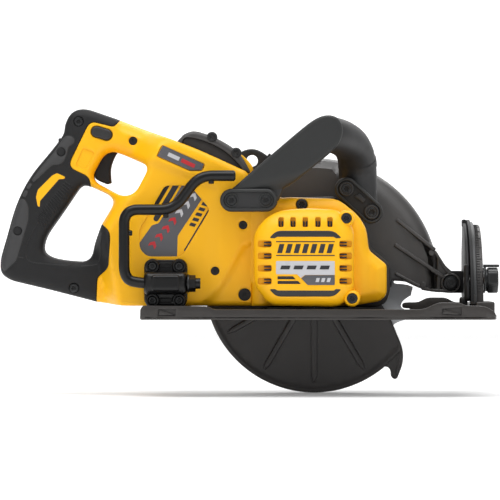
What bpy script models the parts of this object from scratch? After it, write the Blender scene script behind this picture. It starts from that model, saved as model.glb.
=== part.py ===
"""Cordless worm-drive style circular saw, modelled as separate working pieces.

All lengths below are millimetres and are scaled by MM when a mesh is made.
+X points forward (direction of cut), +Y towards the blade, +Z up.
The origin lies on the sole of the shoe, below the spindle, in the mid-plane of the rear handle.
"""

from math import atan2, cos, pi, radians, sin, sqrt

import bmesh
import bpy
from mathutils import Matrix, Vector

MM = 0.001
GAP = 0.3

# ---------------------------------------------------------------- driving dimensions
BLADE_RADIUS = 92.1
BLADE_THICKNESS = 1.8
BLADE_TEETH = 24
BLADE_Y = 56.0
ARBOR_X, ARBOR_Z = 0.0, 32.1
UPPER_GUARD_RADIUS = 116.4
UPPER_GUARD_Y = (41.3, 72.0)
LOWER_GUARD_RADIUS = 101.9
LOWER_GUARD_Y = (46.2, 65.8)
SHEET = 1.8

MOTOR_X, MOTOR_Z = -11.0, 56.1
PINION_TEETH = 8
GEAR_TEETH = 36
GEAR_Y = (22.0, 32.0)

PARTING_Y = 0.15
HANDLE_HALF_WIDTH = 19.0
HOUSING_Y = (-47.5, 40.6)
MOTOR_HOUSING_Y = (-50.0, 7.7)
END_CAP_Y = (-78.0, -50.3)
GEAR_CASE_Y = (8.0, 41.0)

PACK_SLOPE = radians(59.1)
PACK_U = (-32.0, 97.0)
PACK_V = (-191.5, -118.0)
PACK_Y = (-43.0, 37.0)

SHOE_X = (-157.5, 170.0)
SHOE_Y = (-78.0, 98.0)
SHOE_THICKNESS = 3.0
SLOT_X = (-108.0, 106.0)
SLOT_Y = (28.0, 70.0)

DEPTH_X, DEPTH_Z = 127.0, ARBOR_Z
DEPTH_RANGE = radians(28.0)
DEPTH_BOLT_X, DEPTH_BOLT_Z = -72.0, 50.0
BEVEL_Y, BEVEL_Z = 56.0, 7.0
BEVEL_RANGE = radians(53.0)
QUADRANT_RADIUS = 84.0
BEVEL_BOLT_RADIUS = 72.0
BEVEL_BOLT_ANGLE = radians(157.0)

HOOK_Y, HOOK_Z = -64.0, 32.6
HOOK_RADIUS = 4.5

# ---------------------------------------------------------------- side outlines, (X, Z)
BODY_OUTLINE = [
    (-58, 12), (-176, 12), (-199, 15.2), (-243, 26.5), (-281, 35.5), (-288, 41), (-288.5, 52),
    (-282, 75), (-275, 102), (-262, 128), (-238, 157), (-230, 169), (-229, 178), (-225, 187),
    (-217, 192), (-210, 192.3), (-179, 181.7), (-105.5, 153.7), (-58, 131.8),
]
HAND_WINDOW = [
    (-213, 121.8), (-204, 120.5), (-186.5, 112), (-184, 105), (-198, 80.5), (-202, 68), (-203.5, 56.5),
    (-209, 52.3), (-229, 53.5), (-243, 56.5), (-248.5, 63), (-247, 73), (-229.5, 98), (-217.5, 118),
]
TRIGGER_WINDOW = [
    (-194.5, 149), (-187, 152), (-180, 151.5), (-157.5, 142.5), (-153.5, 137.5), (-160, 123),
    (-168, 112.5), (-179, 113.8), (-199, 124), (-203, 129), (-202.8, 134.5),
]
GRIP_OUTLINE = [
    (-199.6, 15.3), (-243, 26.5), (-281, 35.5), (-288, 41), (-288.5, 52), (-282, 75), (-275, 102),
    (-262, 128), (-238, 157), (-230, 169), (-229, 178), (-225, 187), (-217, 192), (-210, 192.3),
    (-178, 181.5), (-182.4, 173.8), (-199, 178), (-204, 176), (-215, 156), (-223, 142.5), (-222, 138),
    (-207.5, 130), (-205, 120.8), (-213, 121.8), (-217.5, 118), (-229.5, 98), (-247, 73), (-248.5, 63),
    (-243, 56.5), (-229, 53.5), (-209, 52.3), (-203.5, 56.5), (-202, 68), (-198, 80.5), (-193, 85.5),
    (-187, 80), (-188.4, 46.5), (-193, 42.5), (-200, 38),
]
PACK_WINDOW = [
    (-136.7, 121.3), (-112, 121.3), (-96.8, 100), (-119.4, 60.1), (-124, 56.9), (-153, 56.9),
    (-159.8, 64), (-159.8, 81.8),
]
MOTOR_OUTLINE = [
    (-57.6, 12), (-57.6, 131.6), (-29, 117.5), (-21, 111), (20, 109), (38, 94.5), (46, 82), (48.2, 62.5),
    (64.4, 49.2), (64.4, 22), (58, 16), (38, 14.4), (33, 12),
]
END_CAP_OUTLINE = [
    (-42, 14), (-55.5, 32), (-56.5, 76), (-47, 90.5), (-36, 97), (-8, 101), (21, 99), (34, 84),
    (34, 24), (22, 11.5), (-36, 11.5),
]
GEAR_CASE_OUTLINE = [
    (-50, 14), (-56, 26), (-56, 96), (-44, 110), (18, 112), (40, 96), (52, 64.6), (69, 51), (70.2, 44),
    (70.2, 26), (66, 15), (58, 10), (-44, 10),
]
TRIGGER_OUTLINE = [
    (-192.7, 153), (-183, 152), (-186.5, 145), (-188.4, 138), (-188.2, 131), (-187.4, 126), (-190, 122.8),
    (-198, 125.8), (-202.2, 129), (-202.2, 134.5), (-200, 143),
]
NEAR_ARM_OUTLINE = [
    (-34, 118), (-60.5, 131.7), (-14.3, 171.1), (-3.4, 179.7), (3.8, 183.3), (11.1, 184.8), (18.3, 183.3),
    (22.8, 178.8), (24.2, 169.7), (22.8, 162.5), (18.3, 155.2), (8.4, 147.1), (-25, 119), (-34.8, 112),
    (-34.8, 102), (-40, 97.6), (-82, 97.6), (-87, 102), (-87, 113), (-82, 118),
]
FRONT_LEG_OUTLINE = [
    (12.2, 184.5), (23.3, 184.6), (32.5, 182), (39.8, 177.4), (46.3, 171.9), (53, 162), (55.8, 150),
    (57.3, 131), (60, 112), (61, 103), (51.5, 90), (44, 94), (20, 118), (22, 129), (21, 141), (18, 152),
]
CLAW_OUTLINE = [
    (72.0, -6), (76.5, -13.6), (80.2, -22), (82.5, -30.4), (83, -37), (82, -44.4), (79.3, -51.8),
    (76.9, -56.5), (74.4, -57), (71.8, -54.6), (71.3, -49), (69, -46.7), (65.3, -45.8), (60, -50),
    (54, -44), (64, -20),
]
HOOK_ROUTE = [
    (-104, 32.6), (-152, 32.6), (-159, 34), (-169, 42), (-172.1, 49), (-172.1, 84), (-169, 93),
    (-160, 99.2), (-133, 99.2), (-127, 101.5), (-111, 123), (-104.6, 129.8), (-72.6, 129.8),
]

# ---------------------------------------------------------------- collections and materials
for old in list(bpy.data.objects):
    bpy.data.objects.remove(old, do_unlink=True)

PARTS = bpy.data.collections.new("circular_saw")
CUTTERS = bpy.data.collections.new("cutters")
bpy.context.scene.collection.children.link(PARTS)
bpy.context.scene.collection.children.link(CUTTERS)

FINISHES = {
    "yellow_plastic": ((0.90, 0.45, 0.01), 0.45, 0.0),
    "black_rubber": ((0.03, 0.03, 0.03), 0.75, 0.0),
    "black_plastic": ((0.04, 0.04, 0.04), 0.5, 0.0),
    "grey_plastic": ((0.10, 0.10, 0.11), 0.5, 0.0),
    "magnesium": ((0.05, 0.043, 0.037), 0.45, 0.6),
    "steel": ((0.55, 0.55, 0.56), 0.3, 1.0),
    "blade_steel": ((0.20, 0.20, 0.21), 0.35, 1.0),
    "black_steel": ((0.05, 0.05, 0.05), 0.35, 0.8),
    "copper": ((0.72, 0.35, 0.18), 0.4, 1.0),
    "circuit_resin": ((0.03, 0.10, 0.05), 0.5, 0.0),
}


def finish(obj, kind):
    """Give obj a Principled material of its own, in one of the named finishes."""
    colour, roughness, metallic = FINISHES[kind]
    material = bpy.data.materials.new(obj.name + "_" + kind)
    material.use_nodes = True
    shader = material.node_tree.nodes["Principled BSDF"]
    shader.inputs["Base Color"].default_value = (*colour, 1.0)
    shader.inputs["Roughness"].default_value = roughness
    shader.inputs["Metallic"].default_value = metallic
    obj.data.materials.clear()
    obj.data.materials.append(material)


# ---------------------------------------------------------------- shape helpers
def keep(name, mesh, cutter):
    """Put a mesh in the scene as a part, or as a hidden cutter."""
    obj = bpy.data.objects.new(name, mesh)
    (CUTTERS if cutter else PARTS).objects.link(obj)
    if cutter:
        obj.hide_render = True
        obj.display_type = "WIRE"
    return obj


def from_curve(name, curve, matrix, cutter):
    """Turn a filled curve into a welded mesh object in world coordinates."""
    temp = bpy.data.objects.new(name + "_curve", curve)
    temp.matrix_world = matrix
    bpy.context.scene.collection.objects.link(temp)
    bpy.context.view_layer.update()
    mesh = bpy.data.meshes.new_from_object(temp.evaluated_get(bpy.context.evaluated_depsgraph_get()))
    mesh.transform(matrix)
    bpy.data.objects.remove(temp, do_unlink=True)
    bm = bmesh.new()
    bm.from_mesh(mesh)
    bmesh.ops.remove_doubles(bm, verts=bm.verts, dist=1e-6)
    bmesh.ops.recalc_face_normals(bm, faces=bm.faces)
    bm.to_mesh(mesh)
    bm.free()
    mesh.name = name
    return keep(name, mesh, cutter)


def rounded(points, radius, steps=3):
    """Replace each corner of a closed outline by a short arc of about the given radius."""
    result = []
    count = len(points)
    for index, corner in enumerate(points):
        here = Vector(corner)
        before = Vector(points[index - 1]) - here
        after = Vector(points[(index + 1) % count]) - here
        reach = min(radius, before.length * 0.45, after.length * 0.45)
        start = here + before.normalized() * reach
        end = here + after.normalized() * reach
        for step in range(steps + 1):
            t = step / steps
            result.append(tuple(start.lerp(here, t).lerp(here.lerp(end, t), t)))
    return result


def arc(centre, radius, start, end, steps):
    """Points on an arc, angles in degrees from +X towards +Z (or +Y towards +Z)."""
    angles = [radians(start + (end - start) * step / steps) for step in range(steps + 1)]
    return [(centre[0] + radius * cos(a), centre[1] + radius * sin(a)) for a in angles]


def plate(name, outlines, low, high, plane="XZ", edge=0.0, grow=0.0, cutter=False):
    """Extrude closed outlines (the first may have holes after it) between two levels.

    plane XZ extrudes along Y, YZ along X and XY along Z; edge rounds the rims.
    """
    curve = bpy.data.curves.new(name, "CURVE")
    curve.dimensions = "2D"
    curve.fill_mode = "BOTH"
    curve.extrude = ((high - low) / 2 - edge) * MM
    curve.bevel_depth = edge * MM
    curve.bevel_resolution = 1
    curve.offset = (grow - edge) * MM
    for outline in outlines:
        spline = curve.splines.new("POLY")
        spline.points.add(len(outline) - 1)
        for point, (a, b) in zip(spline.points, outline):
            point.co = (a * MM, b * MM, 0.0, 1.0)
        spline.use_cyclic_u = True
    middle = (low + high) / 2 * MM
    if plane == "XZ":
        matrix = Matrix.Translation((0, middle, 0)) @ Matrix.Rotation(pi / 2, 4, "X")
    elif plane == "YZ":
        matrix = Matrix(((0, 0, 1, middle), (1, 0, 0, 0), (0, 1, 0, 0), (0, 0, 0, 1)))
    else:
        matrix = Matrix.Translation((0, 0, middle))
    return from_curve(name, curve, matrix, cutter)


def tube(name, points, radius, cutter=False, resolution=2):
    """A round rod along a list of 3-D points."""
    curve = bpy.data.curves.new(name, "CURVE")
    curve.dimensions = "3D"
    curve.bevel_depth = radius * MM
    curve.bevel_resolution = resolution
    curve.use_fill_caps = True
    spline = curve.splines.new("POLY")
    spline.points.add(len(points) - 1)
    for point, (x, y, z) in zip(spline.points, points):
        point.co = (x * MM, y * MM, z * MM, 1.0)
    return from_curve(name, curve, Matrix.Identity(4), cutter)


def rod(name, start, end, radius, segments=24, end_radius=None, cutter=False):
    """A cylinder or cone between two points."""
    start = Vector(start) * MM
    end = Vector(end) * MM
    axis = end - start
    turn = Vector((0, 0, 1)).rotation_difference(axis).to_matrix().to_4x4()
    bm = bmesh.new()
    bmesh.ops.create_cone(
        bm, cap_ends=True, segments=segments, radius1=radius * MM,
        radius2=(radius if end_radius is None else end_radius) * MM, depth=axis.length,
        matrix=Matrix.Translation((start + end) / 2) @ turn,
    )
    mesh = bpy.data.meshes.new(name)
    bm.to_mesh(mesh)
    bm.free()
    return keep(name, mesh, cutter)


def block(name, x, y, z, edge=0.0, cutter=False):
    """A box from its three (low, high) ranges, with edges chamfered by edge."""
    bm = bmesh.new()
    size = Matrix.Diagonal(((x[1] - x[0]) * MM, (y[1] - y[0]) * MM, (z[1] - z[0]) * MM, 1))
    centre = Vector((x[0] + x[1], y[0] + y[1], z[0] + z[1])) * MM / 2
    bmesh.ops.create_cube(bm, size=1.0, matrix=Matrix.Translation(centre) @ size)
    if edge:
        bmesh.ops.bevel(bm, geom=list(bm.edges), offset=edge * MM, segments=1, affect="EDGES")
    mesh = bpy.data.meshes.new(name)
    bm.to_mesh(mesh)
    bm.free()
    return keep(name, mesh, cutter)


def turned(name, profile, x, z, segments=32):
    """A body turned about an axis along Y at (x, z).

    The profile is (radius, y) points; it is closed unless it starts and ends on the axis.
    """
    mesh = bpy.data.meshes.new(name)
    verts = [(radius * MM, y * MM, 0.0) for radius, y in profile]
    edges = [(index, index + 1) for index in range(len(verts) - 1)]
    if profile[0][0] > 0:
        edges.append((len(verts) - 1, 0))
    mesh.from_pydata(verts, edges, [])
    obj = keep(name, mesh, False)
    obj.location = (x * MM, 0, z * MM)
    screw = obj.modifiers.new("turn", "SCREW")
    screw.axis = "Y"
    screw.steps = segments
    screw.render_steps = segments
    screw.use_merge_vertices = True
    screw.merge_threshold = 0.00001
    screw.use_normal_calculate = True
    screw.use_normal_flip = True
    return obj


def boolean(obj, other, operation):
    modifier = obj.modifiers.new(operation.lower(), "BOOLEAN")
    modifier.operation = operation
    modifier.solver = "EXACT"
    modifier.object = other
    return obj


def cut(obj, *cutters):
    for cutter in cutters:
        boolean(obj, cutter, "DIFFERENCE")
    return obj


def add(obj, *others):
    for other in others:
        boolean(obj, other, "UNION")
    return obj


def drill(start, end, radius, *targets, segments=16):
    """Cut one round hole through all the targets."""
    hole = rod("hole", start, end, radius, segments=segments, cutter=True)
    for target in targets:
        cut(target, hole)


def pivot(obj, x, y, z):
    """Move the origin of obj to a point on its joint axis."""
    point = Vector((x, y, z)) * MM
    obj.data.transform(Matrix.Translation(obj.location - point))
    obj.location = point
    return obj


def smooth(obj):
    obj.data.shade_smooth()
    obj.data.set_sharp_from_angle(angle=radians(35))
    return obj


def polar(x, z, radius, angle):
    """A point at an angle in degrees from +X towards +Z about (x, z)."""
    return (x + radius * cos(radians(angle)), z + radius * sin(radians(angle)))


def pack_point(u, v):
    """Side-view point from distances along the battery and across it."""
    return (u * cos(PACK_SLOPE) + v * sin(PACK_SLOPE), u * sin(PACK_SLOPE) - v * cos(PACK_SLOPE))


def pack_box(u, v):
    return [pack_point(u[0], v[0]), pack_point(u[0], v[1]), pack_point(u[1], v[1]), pack_point(u[1], v[0])]


def screw_head(name, x, z, y_head, y_tip, head_radius=4.2, head_height=3.0, shank_radius=2.0):
    """A socket screw along Y with its head on the -Y side, at y_head."""
    side = 1 if y_tip > y_head else -1
    under = y_head + side * head_height
    screw = rod(name, (x, y_head, z), (x, under, z), head_radius, segments=12)
    add(screw, rod(name + "_shank", (x, under - side, z), (x, y_tip, z), shank_radius, 8, cutter=True))
    finish(screw, "black_steel")
    return screw


# ---------------------------------------------------------------- housing and rear handle
def body_half(name, y_inner, y_outer):
    """One yellow clamshell half: wide round the battery, slim towards the rear handle."""
    low, high = sorted((y_inner, y_outer))
    side = 1 if y_outer > 0 else -1
    shell = plate(name, [BODY_OUTLINE, HAND_WINDOW, TRIGGER_WINDOW], low, high)
    waist = [
        (-300, side * 60), (-300, side * HANDLE_HALF_WIDTH), (-182, side * HANDLE_HALF_WIDTH),
        (-166, abs(y_outer) * side), (-166, side * 60),
    ]
    cut(shell, plate(name + "_waist", [waist], 0, 220, plane="XY", cutter=True))
    cut(shell, plate(name + "_grip_seat", [GRIP_OUTLINE], low - 5, high + 5, grow=GAP, cutter=True))
    pocket = pack_box((PACK_U[0] - 0.8, PACK_U[1] + 60), (PACK_V[0] - 0.8, PACK_V[1] + 0.8))
    cut(shell, plate(name + "_pack_bay", [pocket], PACK_Y[0] - 0.6, PACK_Y[1] + 0.6, cutter=True))
    electronics = [(-104, 15), (-60.5, 15), (-60.5, 100), (-70, 100), (-99, 42)]
    cut(shell, plate(name + "_electronics_bay", [electronics], -43.5, 36.5, cutter=True))
    finish(shell, "yellow_plastic")
    return shell


def grip_half(name, y_inner, y_outer):
    low, high = sorted((y_inner, y_outer))
    grip = plate(name, [GRIP_OUTLINE], low, high)
    finish(grip, "black_rubber")
    return grip


def switch_bays(*targets):
    """Rooms inside the handle for the trigger's swing and the switch behind it."""
    trigger_room = [(-181.5, 122), (-200, 121), (-209.5, 124), (-209.5, 140), (-203, 156), (-181.5, 156)]
    bay = plate("trigger_bay", [trigger_room], -8.6, 8.6, cutter=True)
    switch = block("switch_bay", (-236, -209), (-12.4, 12.4), (136, 166), cutter=True)
    lock = rod("lock_bay", (-195, -30, 169), (-195, 30, 169), 6.3, 20, cutter=True)
    for target in targets:
        cut(target, bay, switch, lock)


housing_right = body_half("housing_right", -PARTING_Y, HOUSING_Y[0])
housing_left = body_half("housing_left", PARTING_Y, HOUSING_Y[1])
cut(housing_right, plate("pack_window", [PACK_WINDOW], -60, -40, cutter=True))
grip_right = grip_half("grip_right", -PARTING_Y, -HANDLE_HALF_WIDTH)
grip_left = grip_half("grip_left", PARTING_Y, HANDLE_HALF_WIDTH)
switch_bays(housing_right, housing_left, grip_right, grip_left)

HANDLE_SCREWS = [("grip_screw_top", -216, 180), ("grip_screw_bottom", -220, 28)]
for screw_name, sx, sz in HANDLE_SCREWS:
    drill((sx, -25, sz), (sx, -15.5, sz), 4.6, grip_right)
    drill((sx, -20, sz), (sx, 14, sz), 2.3, grip_right, grip_left)
    screw_head(screw_name, sx, sz, -18.8, 13, head_height=3.0)

# ---------------------------------------------------------------- switchgear
trigger = plate("trigger", [TRIGGER_OUTLINE], -7.8, 7.8, edge=0.8)
pivot(trigger, -190, 0, 152)
finish(trigger, "black_plastic")
switch_module = block("switch_module", (-235, -210.5), (-11.8, 11.8), (136.6, 165.2), edge=0.8)
finish(switch_module, "black_plastic")
trigger_spring = tube(
    "trigger_spring",
    [(-208.5 + 5.4 * t / 24, 2 * cos(2 * pi * t / 8), 131.5 + 2 * sin(2 * pi * t / 8)) for t in range(25)],
    0.4, resolution=1)
pivot(trigger_spring, -206, 0, 131.5)
finish(trigger_spring, "steel")
lock_off_button = rod("lock_off_button", (-195, -22, 169), (-195, 21, 169), 5.6, 20)
finish(lock_off_button, "black_plastic")
controller_module = block("controller_module", (-97, -62.5), (-30, 30), (17, 40), edge=0.8)
finish(controller_module, "circuit_resin")
terminal_block = plate("terminal_block", [pack_box((-6, 44), (-116.5, -110.5))], -22, 22)
cut(terminal_block, *[
    plate("terminal_slot", [pack_box((4, 34), (-118, -113))], y - 1.5, y + 1.5, cutter=True)
    for y in (-14, 0, 14)])
finish(terminal_block, "black_plastic")
for half in (housing_right, housing_left):
    cut(half, plate("terminal_seat", [pack_box((-6.5, 44.5), (-119, -110))], -22.5, 22.5, cutter=True))

# ---------------------------------------------------------------- battery
battery_case = plate(
    "battery_case", [rounded(pack_box(PACK_U, (PACK_V[0], PACK_V[1] - 9.3)), 12)], *PACK_Y)
latch_room = plate("latch_room", [pack_box((PACK_U[1] - 6, PACK_U[1] + 5), (-190, -172))],
                   -19, 13, cutter=True)
cut(battery_case, latch_room)
finish(battery_case, "black_plastic")
battery_base = plate("battery_base", [rounded(pack_box(PACK_U, (PACK_V[1] - 9, PACK_V[1])), 3, 1)],
                     PACK_Y[0] + 4, PACK_Y[1] - 4)
finish(battery_base, "yellow_plastic")
battery_latch = plate(
    "battery_latch", [pack_box((PACK_U[1] - 3.2, PACK_U[1] + 1.5), (-189, -173))], -18, 12)
finish(battery_latch, "black_plastic")

# ---------------------------------------------------------------- motor
motor_housing = plate("motor_housing", [MOTOR_OUTLINE], *MOTOR_HOUSING_Y)
drill((MOTOR_X, -60, MOTOR_Z), (MOTOR_X, 4, MOTOR_Z), 36.5, motor_housing, segments=28)
drill((MOTOR_X, 0, MOTOR_Z), (MOTOR_X, 12, MOTOR_Z), 12, motor_housing, segments=24)
finish(motor_housing, "yellow_plastic")

motor_end_cap = plate("motor_end_cap", [rounded(END_CAP_OUTLINE, 6, 2)], *END_CAP_Y, edge=0)
drill((MOTOR_X, -74, MOTOR_Z), (MOTOR_X, -45, MOTOR_Z), 36.5, motor_end_cap, segments=28)
bearing_boss = rod("bearing_boss", (MOTOR_X, -76, MOTOR_Z), (MOTOR_X, -63, MOTOR_Z), 13, 16, cutter=True)
add(motor_end_cap, bearing_boss)
drill((MOTOR_X, -72, MOTOR_Z), (MOTOR_X, -60, MOTOR_Z), 10.5, motor_end_cap, segments=16)
finish(motor_end_cap, "yellow_plastic")

stator = turned("stator", [(34.5, -14), (34.5, -50), (18.5, -50), (18.5, -14)], MOTOR_X, MOTOR_Z, 24)
finish(stator, "copper")
rotor_core = turned("rotor_core", [(17.5, -15), (17.5, -49), (4.4, -49), (4.4, -15)], MOTOR_X, MOTOR_Z, 28)
finish(rotor_core, "grey_plastic")
motor_shaft = turned(
    "motor_shaft", [(0.0, 20.6), (4.0, 20.6), (4.0, -71), (0.0, -71)], MOTOR_X, MOTOR_Z, 20)
finish(motor_shaft, "steel")


def bladed_fan(name, y0, y1, hub, tip, blades):
    """A back plate on a hub with straight blades across it."""
    fan = rod(name, (MOTOR_X, y0, MOTOR_Z), (MOTOR_X, y0 + 1.5, MOTOR_Z), tip, 32)
    add(fan, rod("fan_hub", (MOTOR_X, y0, MOTOR_Z), (MOTOR_X, y1, MOTOR_Z), hub, 20, cutter=True))
    for index in range(blades):
        angle = 360 * index / blades
        a = polar(MOTOR_X, MOTOR_Z, hub - 1, angle)
        b = polar(MOTOR_X, MOTOR_Z, tip - 1.5, angle)
        across = (b[1] - a[1]), -(b[0] - a[0])
        length = sqrt(across[0] ** 2 + across[1] ** 2)
        off = (across[0] / length * 0.7, across[1] / length * 0.7)
        outline = [(a[0] - off[0], a[1] - off[1]), (b[0] - off[0], b[1] - off[1]),
                   (b[0] + off[0], b[1] + off[1]), (a[0] + off[0], a[1] + off[1])]
        add(fan, plate("fan_blade", [outline], y0 + 0.5, y1 - 1, cutter=True))
    drill((MOTOR_X, y0 - 2, MOTOR_Z), (MOTOR_X, y1 + 2, MOTOR_Z), 4.4, fan, segments=20)
    return fan


cooling_fan = bladed_fan("cooling_fan", -8, 2.5, 9, 33, 9)
finish(cooling_fan, "black_plastic")
rear_bearing = turned(
    "motor_bearing_rear", [(10.0, -64), (10.0, -70.5), (4.3, -70.5), (4.3, -64)], MOTOR_X, MOTOR_Z, 16)
finish(rear_bearing, "steel")
front_bearing = turned(
    "motor_bearing_front", [(11.0, 16), (11.0, 9), (4.3, 9), (4.3, 16)], MOTOR_X, MOTOR_Z, 16)
finish(front_bearing, "steel")


def gear_outline(x, z, teeth, module, phase, thickness):
    """Straight-flanked teeth; thickness is the tooth width at the pitch circle over the pitch."""
    points = []
    pitch = module * teeth / 2
    step = 360 / teeth
    for index in range(teeth):
        middle = phase + index * step
        root, tip = pitch - 1.25 * module, pitch + 0.85 * module
        points.append(polar(x, z, root, middle - step * thickness * 0.72))
        points.append(polar(x, z, tip, middle - step * thickness * 0.26))
        points.append(polar(x, z, tip, middle + step * thickness * 0.26))
        points.append(polar(x, z, root, middle + step * thickness * 0.72))
    return points


CENTRES = sqrt((MOTOR_X - ARBOR_X) ** 2 + (MOTOR_Z - ARBOR_Z) ** 2)
MODULE = 2 * CENTRES / (PINION_TEETH + GEAR_TEETH)
MESH_ANGLE = atan2(MOTOR_Z - ARBOR_Z, MOTOR_X - ARBOR_X) * 180 / pi
spindle_gear = plate(
    "spindle_gear",
    [gear_outline(ARBOR_X, ARBOR_Z, GEAR_TEETH, MODULE, MESH_ANGLE + 180 / GEAR_TEETH, 0.4)],
    *GEAR_Y)
drill((ARBOR_X, 15, ARBOR_Z), (ARBOR_X, 40, ARBOR_Z), 8.4, spindle_gear, segments=24)
pivot(spindle_gear, ARBOR_X, 0, ARBOR_Z)
finish(spindle_gear, "steel")
motor_pinion = plate(
    "motor_pinion", [gear_outline(MOTOR_X, MOTOR_Z, PINION_TEETH, MODULE, MESH_ANGLE + 180, 0.4)],
    GEAR_Y[0] - 1, GEAR_Y[1] + 1)
finish(motor_pinion, "steel")
for piece in (rotor_core, motor_shaft, cooling_fan, motor_pinion):
    pivot(piece, MOTOR_X, 0, MOTOR_Z)

# ---------------------------------------------------------------- gear case, spindle and blade
gear_case = plate("gear_case", [GEAR_CASE_OUTLINE], *GEAR_CASE_Y)
drill((ARBOR_X, 20, ARBOR_Z), (ARBOR_X, 50, ARBOR_Z), 24.5, gear_case, segments=28)
drill((MOTOR_X, 20, MOTOR_Z), (MOTOR_X, 50, MOTOR_Z), 13, gear_case, segments=16)
drill((MOTOR_X, 0, MOTOR_Z), (MOTOR_X, 16.3, MOTOR_Z), 11.6, gear_case, segments=16)
drill((MOTOR_X, 0, MOTOR_Z), (MOTOR_X, 30, MOTOR_Z), 6.5, gear_case, segments=12)
drill((ARBOR_X, 10.5, ARBOR_Z), (ARBOR_X, 30, ARBOR_Z), 11.6, gear_case, segments=16)
finish(gear_case, "magnesium")


def spindle_piece(name, profile, kind, segments=20):
    piece = turned(name, profile, ARBOR_X, ARBOR_Z, segments)
    finish(piece, kind)
    return piece


spindle = spindle_piece("spindle", [
    (0, 54.2), (7.7, 54.2), (7.7, 11.5), (0, 11.5)], "steel")
spindle_bearing_inner = spindle_piece("spindle_bearing_inner", [
    (11, 18.5), (11, 11), (8, 11), (8, 18.5)], "steel")
spindle_bearing_outer = spindle_piece("spindle_bearing_outer", [
    (13, 48), (13, 41.6), (8, 41.6), (8, 48)], "steel")
inner_flange = spindle_piece("inner_flange", [
    (19, 54.8), (19, 50.5), (8, 50.5), (8, 54.8)], "steel")
outer_flange = spindle_piece("outer_flange", [
    (19, 60.5), (19, 57.3), (6.2, 57.3), (6.2, 60.5)], "steel")
blade_bolt = rod("blade_bolt", (ARBOR_X, 60.8, ARBOR_Z), (ARBOR_X, 66, ARBOR_Z), 8, 6)
add(blade_bolt, rod("bolt_shank", (ARBOR_X, 54.5, ARBOR_Z), (ARBOR_X, 63, ARBOR_Z), 5.8, 16, cutter=True))
finish(blade_bolt, "black_steel")


def blade_outline():
    """Teeth with a steep front face and a long back, and a rounded gullet."""
    points = []
    step = 360 / BLADE_TEETH
    for index in range(BLADE_TEETH):
        tip = -index * step - 2.0
        points.append(polar(ARBOR_X, ARBOR_Z, BLADE_RADIUS, tip))
        points.append(polar(ARBOR_X, ARBOR_Z, BLADE_RADIUS - 8, tip - 1.2))
        points.append(polar(ARBOR_X, ARBOR_Z, BLADE_RADIUS - 8.5, tip - 3.4))
        points.append(polar(ARBOR_X, ARBOR_Z, BLADE_RADIUS - 3.5, tip - 5.6))
        points.append(polar(ARBOR_X, ARBOR_Z, BLADE_RADIUS - 2.2, tip - 9.5))
    return points


blade = plate("blade", [blade_outline()], BLADE_Y - BLADE_THICKNESS / 2, BLADE_Y + BLADE_THICKNESS / 2)
drill((ARBOR_X, 50, ARBOR_Z), (ARBOR_X, 60, ARBOR_Z), 6.3, blade, segments=20)
finish(blade, "blade_steel")
for piece in (spindle, inner_flange, outer_flange, blade, blade_bolt):
    pivot(piece, ARBOR_X, 0, ARBOR_Z)

# ---------------------------------------------------------------- guards
CENTRE = (ARBOR_X, ARBOR_Z)
upper_outline = arc(CENTRE, UPPER_GUARD_RADIUS, 19, 182, 30) + [
    (-114, 28), (74, 33), (100, 25), (117, 23.5)] + arc((DEPTH_X, DEPTH_Z), 8.8, -75, 60, 6) + [(119, 55)]
upper_guard = plate("upper_guard", [upper_outline], *UPPER_GUARD_Y)
WALL = 2.5
cavity = arc(CENTRE, UPPER_GUARD_RADIUS - WALL, 0, 184, 30) + [(-114, 10), (113, 10)]
guard_cavity = plate(
    "guard_cavity", [cavity], UPPER_GUARD_Y[0] + WALL, UPPER_GUARD_Y[1] - WALL, cutter=True)
cut(upper_guard, guard_cavity)
cut(upper_guard, rod("access_hole", (ARBOR_X, 60, ARBOR_Z), (ARBOR_X, 80, ARBOR_Z), 54, 30, cutter=True))
nose_room = block("nose_room_right", (114.5, 150), (30, 46), (0, 60), cutter=True)
nose_room_left = block("nose_room_left", (114.5, 150), (66, 90), (0, 60), cutter=True)
cut(upper_guard, nose_room, nose_room_left)
add(upper_guard, rod("spindle_boss", (ARBOR_X, 43, ARBOR_Z), (ARBOR_X, 48.6, ARBOR_Z), 17, 24, cutter=True))
drill((ARBOR_X, 30, ARBOR_Z), (ARBOR_X, 60, ARBOR_Z), 13.3, upper_guard, segments=20)
drill((DEPTH_X, 30, DEPTH_Z), (DEPTH_X, 90, DEPTH_Z), 4.4, upper_guard)
drill((DEPTH_BOLT_X, 60, DEPTH_BOLT_Z), (DEPTH_BOLT_X, 90, DEPTH_BOLT_Z), 3.2, upper_guard)
finish(upper_guard, "magnesium")

OUTER = LOWER_GUARD_RADIUS
lower_side = arc(CENTRE, OUTER, -31, -205, 30) + [
    polar(*CENTRE, 60, -205), polar(*CENTRE, 44, -220)] + arc(CENTRE, 44, -230, -370, 8) + [
    polar(*CENTRE, 60, -28), (72, -2)]
lower_guard = plate("lower_guard", [lower_side], *LOWER_GUARD_Y)
add(lower_guard, plate("claw", [CLAW_OUTLINE], LOWER_GUARD_Y[0] + 0.4, LOWER_GUARD_Y[1] - 0.4, cutter=True))
blade_room = arc(CENTRE, OUTER - SHEET, -20, -212, 33) + [
    polar(*CENTRE, 130, -212), polar(*CENTRE, 130, -260), polar(*CENTRE, 130, -330)]
cut(lower_guard, plate(
    "blade_room", [blade_room], LOWER_GUARD_Y[0] + SHEET, LOWER_GUARD_Y[1] - SHEET, cutter=True))
cut(lower_guard, rod("flange_room", (ARBOR_X, 50, ARBOR_Z), (ARBOR_X, 80, ARBOR_Z), 24, 24, cutter=True))
drill((ARBOR_X, 30, ARBOR_Z), (ARBOR_X, 60, ARBOR_Z), 17.5, lower_guard, segments=24)
pivot(lower_guard, ARBOR_X, 0, ARBOR_Z)
finish(lower_guard, "magnesium")

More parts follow.
